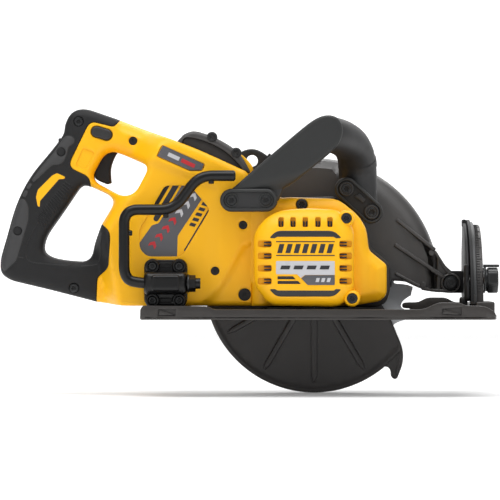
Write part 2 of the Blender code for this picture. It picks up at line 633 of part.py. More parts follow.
LEVER_Y = (77.0, 81.0)
LEVER_ANGLE = 114.0
arm = [polar(*CENTRE, 30, LEVER_ANGLE - 12), polar(*CENTRE, 42, LEVER_ANGLE - 9),
       polar(*CENTRE, 128, LEVER_ANGLE - 6), polar(*CENTRE, 137, LEVER_ANGLE - 4),
       polar(*CENTRE, 138, LEVER_ANGLE + 1), polar(*CENTRE, 128, LEVER_ANGLE + 4.5),
       polar(*CENTRE, 42, LEVER_ANGLE + 9), polar(*CENTRE, 30, LEVER_ANGLE + 12)]
lift_lever = plate("guard_lift_lever", [arm], *LEVER_Y)
foot = [arm[0], arm[1], arm[-2], arm[-1]]
add(lift_lever, plate("lever_foot", [foot], LOWER_GUARD_Y[1] + GAP, LEVER_Y[1] - 1, cutter=True))
loop = polar(*CENTRE, 131, LEVER_ANGLE - 0.5)
drill((loop[0], 70, loop[1]), (loop[0], 90, loop[1]), 4.5, lift_lever)
pivot(lift_lever, ARBOR_X, 0, ARBOR_Z)
finish(lift_lever, "black_plastic")

SPRING_Y = (UPPER_GUARD_Y[0] + WALL + LOWER_GUARD_Y[0]) / 2
guard_spring = tube("guard_return_spring", [
    (polar(*CENTRE, 20.5, angle)[0], SPRING_Y, polar(*CENTRE, 20.5, angle)[1])
    for angle in range(0, 331, 15)], 0.75, resolution=1)
finish(guard_spring, "steel")

# ---------------------------------------------------------------- depth hinge, brackets and shoe
FOOT_RADIUS = 3.6
front_ear = [(117, 26), (121, 22.8), (138.5, 22.8), (138.5, 42.6), (123, 42.6), (117, 38)]
front_bracket = plate("front_bracket", [front_ear], 42.3, 45.6)
add(front_bracket, plate("far_ear", [front_ear], 66.4, 69.7, cutter=True))
bracket_face = [(42, 3.9), (42, 16), (-22, 16)]
bracket_face += arc((BEVEL_Y, BEVEL_Z), QUADRANT_RADIUS - 2, 172, 90, 8)
bracket_face += [(70, 60), (70, 21), (63, 18), (59.6, 7.5)]
bracket_face += arc((BEVEL_Y, BEVEL_Z), FOOT_RADIUS, 0, -90, 4)
add(front_bracket, plate("bracket_face", [bracket_face], 136.7, 141, plane="YZ", cutter=True))
drill((DEPTH_X, 30, DEPTH_Z), (DEPTH_X, 90, DEPTH_Z), 4.5, front_bracket, segments=12)
drill((130, BEVEL_Y, BEVEL_Z), (150, BEVEL_Y, BEVEL_Z), 2.4, front_bracket, segments=12)
pivot(front_bracket, DEPTH_X, 0, DEPTH_Z)
finish(front_bracket, "black_steel")
depth_pivot_pin = rod("depth_pivot_pin", (DEPTH_X, 37.5, DEPTH_Z), (DEPTH_X, 42, DEPTH_Z), 7.5, 20)
add(depth_pivot_pin, rod("pin", (DEPTH_X, 40, DEPTH_Z), (DEPTH_X, 72, DEPTH_Z), 4, 20, cutter=True))
finish(depth_pivot_pin, "steel")

DEPTH_ARM_RADIUS = sqrt((DEPTH_X - DEPTH_BOLT_X) ** 2 + (DEPTH_BOLT_Z - DEPTH_Z) ** 2)
BOLT_ANGLE = 180 - atan2(DEPTH_BOLT_Z - DEPTH_Z, DEPTH_X - DEPTH_BOLT_X) * 180 / pi
DEPTH_SPAN = DEPTH_RANGE * 180 / pi


def swept_slot(centre, radius, half_width, start, end, steps=7):
    """A curved strip of constant width, closed square at its ends."""
    return (arc(centre, radius + half_width, start, end, steps)
            + arc(centre, radius - half_width, end, start, steps))


DEPTH_CENTRE = (DEPTH_X, DEPTH_Z)
depth_arm = plate("depth_arm", [swept_slot(
    DEPTH_CENTRE, DEPTH_ARM_RADIUS, 8, BOLT_ANGLE + 2.6, BOLT_ANGLE - DEPTH_SPAN - 2.6)], 72.4, 75.4)
cut(depth_arm, plate("depth_slot", [swept_slot(
    DEPTH_CENTRE, DEPTH_ARM_RADIUS, 3.4, BOLT_ANGLE + 1.2, BOLT_ANGLE - DEPTH_SPAN - 1.2)],
    70, 78, cutter=True))
add(depth_arm, plate("arm_strip", [[(-125.6, 27.4), (-64.5, 36), (-66, 42), (-80, 46), (-125.6, 33.5)]],
                     72.6, 75.2, cutter=True))
add(depth_arm, block("arm_step", (-126, -119), (50.3, 75), (27, 34), cutter=True))
arm_foot = [(50.6, 29), (52.4, BEVEL_Z)] + arc((BEVEL_Y, BEVEL_Z), FOOT_RADIUS, 180, 360, 8) + [(61.4, 29)]
add(depth_arm, plate("arm_foot", [arm_foot], -125.7, -119.3, plane="YZ", cutter=True))
drill((-130, BEVEL_Y, BEVEL_Z), (-100, BEVEL_Y, BEVEL_Z), 2.4, depth_arm)
pivot(depth_arm, DEPTH_X, 0, DEPTH_Z)
finish(depth_arm, "black_steel")

depth_lever = rod(
    "depth_lever", (DEPTH_BOLT_X, 75.8, DEPTH_BOLT_Z), (DEPTH_BOLT_X, 83, DEPTH_BOLT_Z), 8, 20)
add(depth_lever, rod("depth_bolt", (DEPTH_BOLT_X, 69.8, DEPTH_BOLT_Z), (DEPTH_BOLT_X, 77, DEPTH_BOLT_Z),
                     2.8, 16, cutter=True))
handle_bar = [(-76, 46), (-70, 55), (-94, 74), (-99, 75), (-101, 70), (-98, 66)]
add(depth_lever, plate("lever_bar", [handle_bar], 77.5, 82, cutter=True))
pivot(depth_lever, DEPTH_BOLT_X, 0, DEPTH_BOLT_Z)
finish(depth_lever, "black_plastic")

shoe_plan = rounded([(SHOE_X[0], SHOE_Y[0]), (SHOE_X[1] - 8, SHOE_Y[0]), (SHOE_X[1], SHOE_Y[0] + 30),
                     (SHOE_X[1], SHOE_Y[1]), (SHOE_X[0], SHOE_Y[1])], 5)
slot_plan = rounded([(SLOT_X[0], SLOT_Y[0]), (SLOT_X[1], SLOT_Y[0]), (SLOT_X[1], SLOT_Y[1]),
                     (SLOT_X[0], SLOT_Y[1])], 4)
shoe = plate("shoe", [shoe_plan, slot_plan], 0, SHOE_THICKNESS, plane="XY")
near_rib = [(SHOE_X[0] + 2, 1), (SHOE_X[1] - 10, 1), (SHOE_X[1] - 10, 5), (160, 6.5), (152, 12.5),
            (134, 12.8), (129, 15.6), (109, 15.6), (97, 9.4), (-108, 9.4), (-113, 12.6),
            (SHOE_X[0] + 2, 12.6)]
add(shoe, plate("near_rib", [near_rib], SHOE_Y[0], SHOE_Y[0] + 4, cutter=True))
far_rib = [(SHOE_X[0] + 2, 1), (SHOE_X[1] - 2, 1), (SHOE_X[1] - 2, 6), (SHOE_X[0] + 2, 6)]
add(shoe, plate("far_rib", [far_rib], SHOE_Y[1] - 3, SHOE_Y[1], cutter=True))
for x0 in (-133, -118.6, 111, 127):
    add(shoe, block("hinge_ear", (x0, x0 + 3.6), (BEVEL_Y - 5, BEVEL_Y + 5), (1, 12), cutter=True))
add(shoe, block("quadrant_seat", (146.5, 168), (-30, 60), (1, 15), cutter=True))
drill((-140, BEVEL_Y, BEVEL_Z), (-105, BEVEL_Y, BEVEL_Z), 2.4, shoe)
drill((108, BEVEL_Y, BEVEL_Z), (147, BEVEL_Y, BEVEL_Z), 2.4, shoe)
pivot(shoe, 0, BEVEL_Y, BEVEL_Z)
finish(shoe, "magnesium")

rear_bevel_pin = rod("rear_bevel_pin", (-134, BEVEL_Y, BEVEL_Z), (-112, BEVEL_Y, BEVEL_Z), 2, 16)
front_bevel_pin = rod("front_bevel_pin", (109, BEVEL_Y, BEVEL_Z), (145.5, BEVEL_Y, BEVEL_Z), 2, 16)
BEVEL_CENTRE = (BEVEL_Y, BEVEL_Z)
bolt_deg = BEVEL_BOLT_ANGLE * 180 / pi
bevel_span = BEVEL_RANGE * 180 / pi
quadrant_face = arc(BEVEL_CENTRE, QUADRANT_RADIUS, 90, 174, 12) + arc(BEVEL_CENTRE, 58, 172, 90, 8)
bevel_quadrant = plate("bevel_quadrant", [quadrant_face], 141.6, 144.6, plane="YZ")
rim = swept_slot(BEVEL_CENTRE, QUADRANT_RADIUS - 1.4, 1.3, 90.5, 169.5, 11)
add(bevel_quadrant, plate("quadrant_rim", [rim], 142, 152, plane="YZ", cutter=True))
cut(bevel_quadrant, plate("bevel_slot", [swept_slot(
    BEVEL_CENTRE, BEVEL_BOLT_RADIUS, 3.6, bolt_deg - bevel_span - 3.4, bolt_deg + 3.4)],
    135, 148, plane="YZ", cutter=True))
add(bevel_quadrant, block("quadrant_foot", (141.6, 146.2), (-26, -4), (3.4, 22), cutter=True))
add(bevel_quadrant, block("quadrant_cross", (141.6, 146.2), (-26, 58), (3.4, 14.6), cutter=True))
drill((135, BEVEL_Y, BEVEL_Z), (150, BEVEL_Y, BEVEL_Z), 2.4, bevel_quadrant)
for piece in (rear_bevel_pin, front_bevel_pin, bevel_quadrant):
    pivot(piece, 0, BEVEL_Y, BEVEL_Z)
    finish(piece, "steel")

bolt_y = BEVEL_Y + BEVEL_BOLT_RADIUS * cos(BEVEL_BOLT_ANGLE)
bolt_z = BEVEL_Z + BEVEL_BOLT_RADIUS * sin(BEVEL_BOLT_ANGLE)
drill((130, bolt_y, bolt_z), (148, bolt_y, bolt_z), 3.3, front_bracket)
bevel_lever = rod("bevel_lever", (153, bolt_y, bolt_z), (167.5, bolt_y, bolt_z), 12.5, 6)
add(bevel_lever, rod("bevel_bolt", (136, bolt_y, bolt_z), (155, bolt_y, bolt_z), 2.9, 16, cutter=True))
pivot(bevel_lever, 0, bolt_y, bolt_z)
finish(bevel_lever, "black_steel")

# ---------------------------------------------------------------- front handle
HANDLE_NEAR_Y = (-62.0, -50.4)
front_handle = plate("front_handle", [rounded(NEAR_ARM_OUTLINE, 3, 1)], HANDLE_NEAR_Y[0], -38)
arm_relief = block("arm_relief", (-100, -14), (-50.3, -30), (80, 136), cutter=True)
cut(front_handle, arm_relief)
crossbar = [
    (-2, 168), (4, 181), (14, 184.3), (26, 183.8), (34, 176), (36, 164), (30, 153), (17, 152), (4, 158)]
add(front_handle, plate("crossbar", [rounded(crossbar, 5, 1)], -52, 34, cutter=True))
add(front_handle, plate("front_leg", [rounded(FRONT_LEG_OUTLINE, 3, 1)], 8.4, 35, cutter=True))
leg_relief = plate("leg_relief", [GEAR_CASE_OUTLINE], 0, 50, grow=GAP, cutter=True)
cut(front_handle, leg_relief)
finish(front_handle, "black_plastic")

NEAR_FEET = [(-76.3, 107.8), (-45.1, 107.8)]
for index, (sx, sz) in enumerate(NEAR_FEET):
    drill((sx, -70, sz), (sx, -40, sz), 2.4, front_handle, housing_right, motor_housing)
    screw_head("handle_screw_%d" % (index + 1), sx, sz, -64.6, -44.5, head_radius=4.4, head_height=2.2)

# ---------------------------------------------------------------- rafter hook
hook_bracket = plate("hook_bracket", [rounded([
    (-155.5, 12.6), (-116.3, 12.6), (-116.3, 54), (-155.5, 54)], 6, 2)], -56, HOUSING_Y[0] - GAP)
add(hook_bracket, rod("hook_barrel", (-150, HOOK_Y, HOOK_Z), (-119, HOOK_Y, HOOK_Z), 9, 16, cutter=True))
add(hook_bracket, block("barrel_web", (-148, -121), (-60, -54), (24, 41), cutter=True))
drill((-160, HOOK_Y, HOOK_Z), (-110, HOOK_Y, HOOK_Z), 5.2, hook_bracket, segments=12)
finish(hook_bracket, "black_plastic")
BRACKET_SCREWS = [(-147.8, 48.4), (-123.7, 48.4), (-147.8, 16.9), (-123.7, 16.9)]
for index, (sx, sz) in enumerate(BRACKET_SCREWS):
    drill((sx, -60, sz), (sx, -45.4, sz), 2.5, hook_bracket, housing_right)
    screw_head("bracket_screw_%d" % (index + 1), sx, sz, -58.6, -46.0, head_radius=3.8, head_height=2.3)
rafter_hook = tube("rafter_hook", [(x, HOOK_Y, z) for x, z in HOOK_ROUTE], HOOK_RADIUS, resolution=1)
pivot(rafter_hook, 0, HOOK_Y, HOOK_Z)
finish(rafter_hook, "black_steel")
hook_nut = rod("hook_nut", (-116, HOOK_Y, HOOK_Z), (-107, HOOK_Y, HOOK_Z), 7.5, 6)
drill((-120, HOOK_Y, HOOK_Z), (-104.5, HOOK_Y, HOOK_Z), 4.8, hook_nut)
pivot(hook_nut, 0, HOOK_Y, HOOK_Z)
finish(hook_nut, "steel")

# ---------------------------------------------------------------- end-cap screws and spindle lock
CAP_SCREWS = [(-24.5, 95.5), (24.5, 91.6), (25.5, 19.5)]
for index, (sx, sz) in enumerate(CAP_SCREWS):
    drill((sx, -85, sz), (sx, -75.5, sz), 4.8, motor_end_cap)
    drill((sx, -80, sz), (sx, -58, sz), 2.3, motor_end_cap)
    screw_head("end_cap_screw_%d" % (index + 1), sx, sz, -78.6, -59, head_radius=4.3, head_height=2.8)

LOCK_Y, LOCK_Z = 36.5, ARBOR_Z
drill((5, LOCK_Y, LOCK_Z), (80, LOCK_Y, LOCK_Z), 2.8, gear_case)
drill((61, LOCK_Y, LOCK_Z), (80, LOCK_Y, LOCK_Z), 4.6, gear_case)
spindle_lock = rod("spindle_lock_button", (66, LOCK_Y, LOCK_Z), (73.5, LOCK_Y, LOCK_Z), 4.2, 16)
add(spindle_lock, rod("lock_pin", (14, LOCK_Y, LOCK_Z), (70, LOCK_Y, LOCK_Z), 2.4, 12, cutter=True))
finish(spindle_lock, "steel")

for part in PARTS.objects:
    smooth(part)
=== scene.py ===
from math import atan2, ceil, cos, degrees, hypot, pi, radians, sin

import bmesh
import bpy
import numpy as np
from mathutils import Matrix, Vector
from mathutils.geometry import delaunay_2d_cdt


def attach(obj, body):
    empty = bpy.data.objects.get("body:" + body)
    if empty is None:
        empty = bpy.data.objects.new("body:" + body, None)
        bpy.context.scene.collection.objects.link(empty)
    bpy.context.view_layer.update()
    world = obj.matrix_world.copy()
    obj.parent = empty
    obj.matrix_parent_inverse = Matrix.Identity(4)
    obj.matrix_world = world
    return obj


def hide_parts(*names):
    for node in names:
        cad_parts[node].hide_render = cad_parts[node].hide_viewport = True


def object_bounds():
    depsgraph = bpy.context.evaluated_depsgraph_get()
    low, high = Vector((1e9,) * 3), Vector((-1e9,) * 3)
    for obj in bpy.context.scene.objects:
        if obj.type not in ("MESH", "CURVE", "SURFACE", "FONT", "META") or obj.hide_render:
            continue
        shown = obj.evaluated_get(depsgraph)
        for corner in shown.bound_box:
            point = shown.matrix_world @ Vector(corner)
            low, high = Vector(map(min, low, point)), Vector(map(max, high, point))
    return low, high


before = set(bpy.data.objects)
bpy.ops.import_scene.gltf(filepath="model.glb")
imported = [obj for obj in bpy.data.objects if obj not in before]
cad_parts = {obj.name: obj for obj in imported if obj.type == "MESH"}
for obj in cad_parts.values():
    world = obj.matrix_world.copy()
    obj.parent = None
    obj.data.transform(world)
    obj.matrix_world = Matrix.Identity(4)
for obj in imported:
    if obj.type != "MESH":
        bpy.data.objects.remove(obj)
CAD_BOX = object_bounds()

# Lengths below are millimetres; +X is the cutting direction, +Y the blade side, +Z up.
MM = 0.001
WELD = 1e-7
SMOOTH_ANGLE = radians(38)
PACK_SLOPE = radians(59.1)


# ---------------------------------------------------------------- materials
def linear(red, green, blue):
    """An sRGB colour, 0 to 255, as the linear values that shaders take."""
    def channel(value):
        value /= 255
        return value / 12.92 if value <= 0.04045 else ((value + 0.055) / 1.055) ** 2.4
    return channel(red), channel(green), channel(blue)


def noise(tree, size, detail, coordinates):
    node = tree.nodes.new("ShaderNodeTexNoise")
    node.inputs["Scale"].default_value = 1 / (size * MM)
    node.inputs["Detail"].default_value = detail
    tree.links.new(coordinates, node.inputs["Vector"])
    return node.outputs["Fac"]


def surface(name, colour, rough, metal=0.0, grain=0.25, depth=0.04, mottle=0.1, spread=0.08, coat=0.0,
            stretch=(1, 1, 1), specular=0.5):
    """A moulded, cast or machined surface.

    grain is the size of its fine relief and depth its height, both in mm; mottle is how far the
    colour drifts over a few centimetres, spread how far the roughness does.
    """
    made = bpy.data.materials.new(name)
    made.use_nodes = True
    tree = made.node_tree
    shader = tree.nodes["Principled BSDF"]
    shader.inputs["Metallic"].default_value = metal
    shader.inputs["Coat Weight"].default_value = coat
    shader.inputs["Specular IOR Level"].default_value = specular
    place = tree.nodes.new("ShaderNodeTexCoord")
    mapping = tree.nodes.new("ShaderNodeMapping")
    mapping.inputs["Scale"].default_value = stretch
    tree.links.new(place.outputs["Object"], mapping.inputs["Vector"])
    where = mapping.outputs["Vector"]
    tint = tree.nodes.new("ShaderNodeMix")
    tint.data_type = "RGBA"
    tint.inputs["A"].default_value = (*[c * (1 - mottle) for c in colour], 1)
    tint.inputs["B"].default_value = (*[min(1, c * (1 + mottle)) for c in colour], 1)
    tree.links.new(noise(tree, 45, 3, where), tint.inputs["Factor"])
    tree.links.new(tint.outputs["Result"], shader.inputs["Base Color"])
    gloss = tree.nodes.new("ShaderNodeMapRange")
    gloss.inputs["To Min"].default_value = max(0.02, rough - spread)
    gloss.inputs["To Max"].default_value = min(1, rough + spread)
    tree.links.new(noise(tree, 9, 4, where), gloss.inputs["Value"])
    tree.links.new(gloss.outputs["Result"], shader.inputs["Roughness"])
    bump = tree.nodes.new("ShaderNodeBump")
    bump.inputs["Distance"].default_value = depth * MM
    bump.inputs["Strength"].default_value = 0.6
    tree.links.new(noise(tree, grain, 2, where), bump.inputs["Height"])
    tree.links.new(bump.outputs["Normal"], shader.inputs["Normal"])
    return made


YELLOW = surface("yellow_nylon", linear(247, 182, 8), 0.42, depth=0.02, mottle=0.05, specular=0.35)
# A darker, rougher copy of the yellow: painted shade for the floor inside the end cap's screw bosses.
YELLOW_SHADED = surface("yellow_recess_painted_shade", linear(228, 158, 30), 0.55, depth=0.02, mottle=0.05)
RUBBER = surface("black_rubber", linear(28, 28, 29), 0.62, depth=0.05, mottle=0.12, specular=0.3)
RUBBER_PAD = surface("grey_rubber", linear(52, 52, 53), 0.58, depth=0.05, mottle=0.12)
NYLON = surface("black_nylon", linear(34, 34, 35), 0.5, depth=0.035, mottle=0.1)
NYLON_PANEL = surface("charcoal_panel", linear(42, 43, 43), 0.48, depth=0.03, mottle=0.08, specular=0.35)
DARK = surface("deep_black", linear(14, 14, 15), 0.6, mottle=0.1)
# A lighter grey copy of the battery plastic: painted highlight for light falling on the pack's raised band.
CASE_LIT = surface("battery_band_painted_highlight", linear(60, 58, 57), 0.45, depth=0.04, mottle=0.12)
CASE = surface("battery_brown", linear(36, 31, 28), 0.5, depth=0.04, mottle=0.12)
LABEL_GREY = surface("label_grey", linear(84, 84, 88), 0.35, depth=0.005, mottle=0.04)
LABEL_LIGHT = surface("label_light", linear(190, 190, 194), 0.3, depth=0.005, mottle=0.03)
LABEL_RED = surface("label_red", linear(186, 36, 44), 0.35, depth=0.005, mottle=0.04)
# Black print; the same colour is also painted shade inside the cap's grill slots.
PRINT_AND_SHADE = surface("black_print_and_painted_shade", linear(38, 38, 44), 0.4, depth=0.005, mottle=0.05)
CAST = surface("painted_magnesium", linear(53, 50, 48), 0.38, 0.1, grain=0.5, depth=0.06, mottle=0.15)
GUARD = surface("guard_paint", linear(60, 58, 57), 0.44, 0.1, grain=0.5, depth=0.06, mottle=0.15,
                specular=0.85)
CAST_LOW = surface("painted_guard", linear(48, 45, 44), 0.4, 0.1, grain=0.5, depth=0.06, mottle=0.15)
BLACK_STEEL = surface("black_oxide", linear(40, 41, 42), 0.3, 0.35, depth=0.02, mottle=0.15, spread=0.1)
DARK_STEEL = surface("painted_steel", linear(28, 28, 29), 0.5, depth=0.03, mottle=0.12, specular=0.25)
QUADRANT = surface("quadrant_grey", linear(54, 55, 56), 0.42, 0.2, depth=0.03, mottle=0.1)
HOOK_PAINT = surface("hook_paint", linear(11, 11, 12), 0.32, depth=0.015, mottle=0.1, coat=0.05, specular=0.3)
STEEL = surface("zinc_steel", linear(168, 168, 170), 0.32, 1.0, depth=0.02, mottle=0.12, spread=0.12)
BLADE = surface("coated_blade", linear(176, 178, 181), 0.45, 0.3, grain=0.4, depth=0.02, mottle=0.15,
                stretch=(1, 1, 6))
CARBIDE = surface("carbide", linear(150, 150, 150), 0.35, 0.9, depth=0.02)
BRASS = surface("brass_spring", linear(190, 140, 60), 0.35, 1.0)
COPPER = surface("copper_winding", linear(196, 110, 60), 0.38, 0.9, grain=0.8, depth=0.3,
                 stretch=(1, 4, 1))
IRON = surface("lamination", linear(110, 108, 106), 0.45, 0.8, grain=0.5, depth=0.1, stretch=(1, 8, 1))
RESIN = surface("circuit_resin", linear(38, 84, 56), 0.35, mottle=0.2)


# ---------------------------------------------------------------- outline helpers
def arc(centre, radius, start, end, steps):
    """Points on an arc; angles in degrees from the first axis towards the second."""
    turns = [radians(start + (end - start) * step / steps) for step in range(steps + 1)]
    return [(centre[0] + radius * cos(t), centre[1] + radius * sin(t)) for t in turns]


def circle(centre, radius, steps=32):
    return arc(centre, radius, 0, 360 - 360 / steps, steps - 1)


def polar(centre, radius, angle):
    return centre[0] + radius * cos(radians(angle)), centre[1] + radius * sin(radians(angle))


def hexagon(centre, radius, start=0):
    return [polar(centre, radius, 60 * k + start) for k in range(6)]


def spoke(centre, low, high, angle, half):
    """A short radial strip; half is half its angle."""
    return [polar(centre, low, angle - half), polar(centre, high, angle - half),
            polar(centre, high, angle + half), polar(centre, low, angle + half)]


def swept(centre, radius, half, start, end, steps=24):
    """A curved strip about an arc; half is half its width."""
    return arc(centre, radius + half, start, end, steps) + arc(centre, radius - half, end, start, steps)


def stadium(a, b, radius, steps=10):
    """A strip with round ends about the line from a to b."""
    angle = degrees(atan2(b[1] - a[1], b[0] - a[0]))
    return arc(b, radius, angle - 90, angle + 90, steps) + arc(a, radius, angle + 90, angle + 270, steps)


def lobed(centre, radius, lobes=6, depth=0.22, steps=24):
    """A star-shaped socket."""
    points = []
    for step in range(steps):
        turn = 2 * pi * step / steps
        reach = radius * (1 + depth * cos(lobes * turn))
        points.append((centre[0] + reach * cos(turn), centre[1] + reach * sin(turn)))
    return points


def bend(before, here, after, reach, most, steps):
    """The short curve that replaces a corner; it takes at most that share of each side."""
    start = here + (before - here).normalized() * min(reach, (before - here).length * most)
    end = here + (after - here).normalized() * min(reach, (after - here).length * most)
    shares = [step / steps for step in range(steps + 1)]
    return [start.lerp(here, t).lerp(here.lerp(end, t), t) for t in shares]


def rounded(points, radius, steps=4):
    """Replace each corner of a closed outline by a short curve.

    The curve starts about radius before the corner, or a point's own third value before it.
    """
    result = []
    spots = [Vector(point[:2]) for point in points]
    for index, corner in enumerate(points):
        reach = corner[2] if len(corner) > 2 else radius
        after = spots[(index + 1) % len(spots)]
        result += [tuple(p) for p in bend(spots[index - 1], spots[index], after, reach, 0.48, steps)]
    return result


def rectangle(x, z):
    return [(x[0], z[0]), (x[1], z[0]), (x[1], z[1]), (x[0], z[1])]


def slanted(x, z, width, lean):
    """A bar from x on between two levels of Z, its top moved forward by lean."""
    return [(x, z[0]), (x + width, z[0]), (x + width + lean, z[1]), (x + lean, z[1])]


def along_pack(u, v):
    """Side-view point from distances along the battery and across it."""
    return (u * cos(PACK_SLOPE) + v * sin(PACK_SLOPE), u * sin(PACK_SLOPE) - v * cos(PACK_SLOPE))


def pack_box(u, v):
    return [along_pack(u[0], v[0]), along_pack(u[0], v[1]), along_pack(u[1], v[1]), along_pack(u[1], v[0])]


def resample(points, step):
    """Points along a closed outline, no further apart than step, turning anticlockwise."""
    area = sum(a[0] * b[1] - b[0] * a[1] for a, b in zip(points, points[1:] + points[:1]))
    ordered = points if area > 0 else points[::-1]
    result = []
    for a, b in zip(ordered, ordered[1:] + ordered[:1]):
        length = hypot(b[0] - a[0], b[1] - a[1])
        if length < 1e-4:
            continue
        pieces = max(1, ceil(length / step))
        result += [(a[0] + (b[0] - a[0]) * k / pieces, a[1] + (b[1] - a[1]) * k / pieces)
                   for k in range(pieces)]
    return np.array(result)


def distance_to(points, loop):
    """Distance of each point from a closed loop."""
    span = np.roll(loop, -1, 0) - loop
    offset = points[:, None] - loop[None]
    share = np.clip((offset * span).sum(2) / (span ** 2).sum(1), 0, 1)
    return np.sqrt(((offset - share[..., None] * span) ** 2).sum(2)).min(1)


def inward(loop):
    """The unit normals into a closed anticlockwise loop, one at each of its points."""
    along = np.roll(loop, -1, 0) - np.roll(loop, 1, 0)
    along /= np.linalg.norm(along, axis=1)[:, None] + 1e-12
    return np.stack((-along[:, 1], along[:, 0]), 1)


def outset(points, distance):
    """A closed outline moved outwards everywhere."""
    loop = resample(points, 2)
    return [tuple(p) for p in loop - distance * inward(loop)]


def inside(points, loop):
    """Whether each point lies inside a closed loop."""
    ahead = np.roll(loop, -1, 0)
    level = points[:, 1][:, None]
    crosses = (loop[:, 1] > level) != (ahead[:, 1] > level)
    run = ahead[:, 1] - loop[:, 1]
    at = loop[:, 0] + (ahead[:, 0] - loop[:, 0]) * (level - loop[:, 1]) / np.where(run == 0, 1e-9, run)
    return ((points[:, 0][:, None] < at) & crosses).sum(1) % 2 == 1


def soft(value, low, high):
    """0 below low, 1 above high, and a smooth rise between them."""
    t = np.clip((value - low) / (high - low), 0, 1)
    return t * t * (3 - 2 * t)


def round_over(distance, radius):
    """How far a face has dropped at a distance from its edge, for an edge of that radius."""
    reach = np.clip(radius - distance, 0, radius)
    return radius - np.sqrt(radius ** 2 - reach ** 2)


def form_at(form, x, z):
    """The drop of a sculpted face at one point."""
    return float(form(np.array([float(x)]), np.array([float(z)]))[0])


# ---------------------------------------------------------------- mesh helpers
def keep(name, mesh, material):
    obj = bpy.data.objects.new(name, mesh)
    bpy.context.scene.collection.objects.link(obj)
    mesh.materials.clear()
    mesh.materials.append(material)
    mesh.shade_smooth()
    mesh.set_sharp_from_angle(angle=SMOOTH_ANGLE)
    return obj


def weld(mesh, dissolve):
    """Join a mesh's coincident points, drop its flat faces if asked, and turn the rest outwards."""
    bm = bmesh.new()
    bm.from_mesh(mesh)
    bmesh.ops.remove_doubles(bm, verts=bm.verts, dist=WELD)
    if dissolve:
        bmesh.ops.dissolve_degenerate(bm, edges=bm.edges, dist=WELD)
    bmesh.ops.recalc_face_normals(bm, faces=bm.faces)
    bm.to_mesh(mesh)
    bm.free()


def from_lists(name, verts, faces, material):
    """A mesh object from points in mm, its faces turned outwards."""
    mesh = bpy.data.meshes.new(name)
    mesh.from_pydata([(x * MM, y * MM, z * MM) for x, y, z in verts], [], faces)
    weld(mesh, True)
    return keep(name, mesh, material)


def baked(obj):
    """Apply the modifiers of obj, or turn a curve into a mesh, and leave one welded mesh object."""
    bpy.context.view_layer.update()
    evaluated = obj.evaluated_get(bpy.context.evaluated_depsgraph_get())
    mesh = bpy.data.meshes.new_from_object(evaluated)
    mesh.transform(obj.matrix_world)
    name = obj.name
    material = obj.active_material
    bpy.data.objects.remove(obj, do_unlink=True)
    weld(mesh, False)
    made = keep(name, mesh, material)
    made.name = name
    return made


def triangulate(loops, steps, rings, spacing):
    """Triangles that fill loops[0] except for the other loops.

    Each loop gets rows of points beside it at the distances in rings, and a hexagonal grid of
    the given spacing fills the rest. Returns the points, the faces and each loop's own indices.
    """
    loops = [resample(loop, step) for loop, step in zip(loops, steps)]
    points = [tuple(point) for loop in loops for point in loop]
    starts = np.cumsum([0] + [len(loop) for loop in loops])
    edges = [(start + k, start + (k + 1) % len(loop))
             for start, loop in zip(starts, loops) for k in range(len(loop))]
    candidates = []
    for index, (loop, distances) in enumerate(zip(loops, rings)):
        into = inward(loop) * (1 if index == 0 else -1)
        for distance in distances:
            row = loop + into * distance
            good = distance_to(row, loop) > distance * 0.93
            for other, other_loop in enumerate(loops):
                if other != index:
                    good &= distance_to(row, other_loop) > 0.4 * min(spacing, max(distances))
            candidates.append(row[good])
    low, high = loops[0].min(0), loops[0].max(0)
    across = np.arange(low[0], high[0], spacing)
    up = np.arange(low[1], high[1], spacing * 0.866)
    grid = np.array([(u + (spacing / 2 if row % 2 else 0), v) for row, v in enumerate(up) for u in across])
    clear = np.ones(len(grid), bool)
    for loop, distances in zip(loops, rings):
        clear &= distance_to(grid, loop) > max(distances) + spacing * 0.45
    candidates.append(grid[clear])
    free = np.concatenate(candidates)
    solid = inside(free, loops[0])
    for loop in loops[1:]:
        solid &= ~inside(free, loop)
    points += [tuple(point) for point in free[solid]]
    return (*fill(points, edges, loops, starts), loops)


def fill(points, edges, loops, starts):
    """Constrained triangles between the points, without those inside a hole."""
    raw, _, faces, origins, _, _ = delaunay_2d_cdt([Vector(p) for p in points], edges, [], 1, 1e-4)
    verts = np.array([tuple(v) for v in raw])
    middles = np.array([verts[list(f)].mean(0) for f in faces])
    solid = inside(middles, loops[0])
    for loop in loops[1:]:
        solid &= ~inside(middles, loop)
    place = {source: index for index, sources in enumerate(origins) for source in sources}
    own = [[place[k] for k in range(start, start + len(loop))] for start, loop in zip(starts, loops)]
    return verts, [list(f) for f, good in zip(faces, solid) if good], own


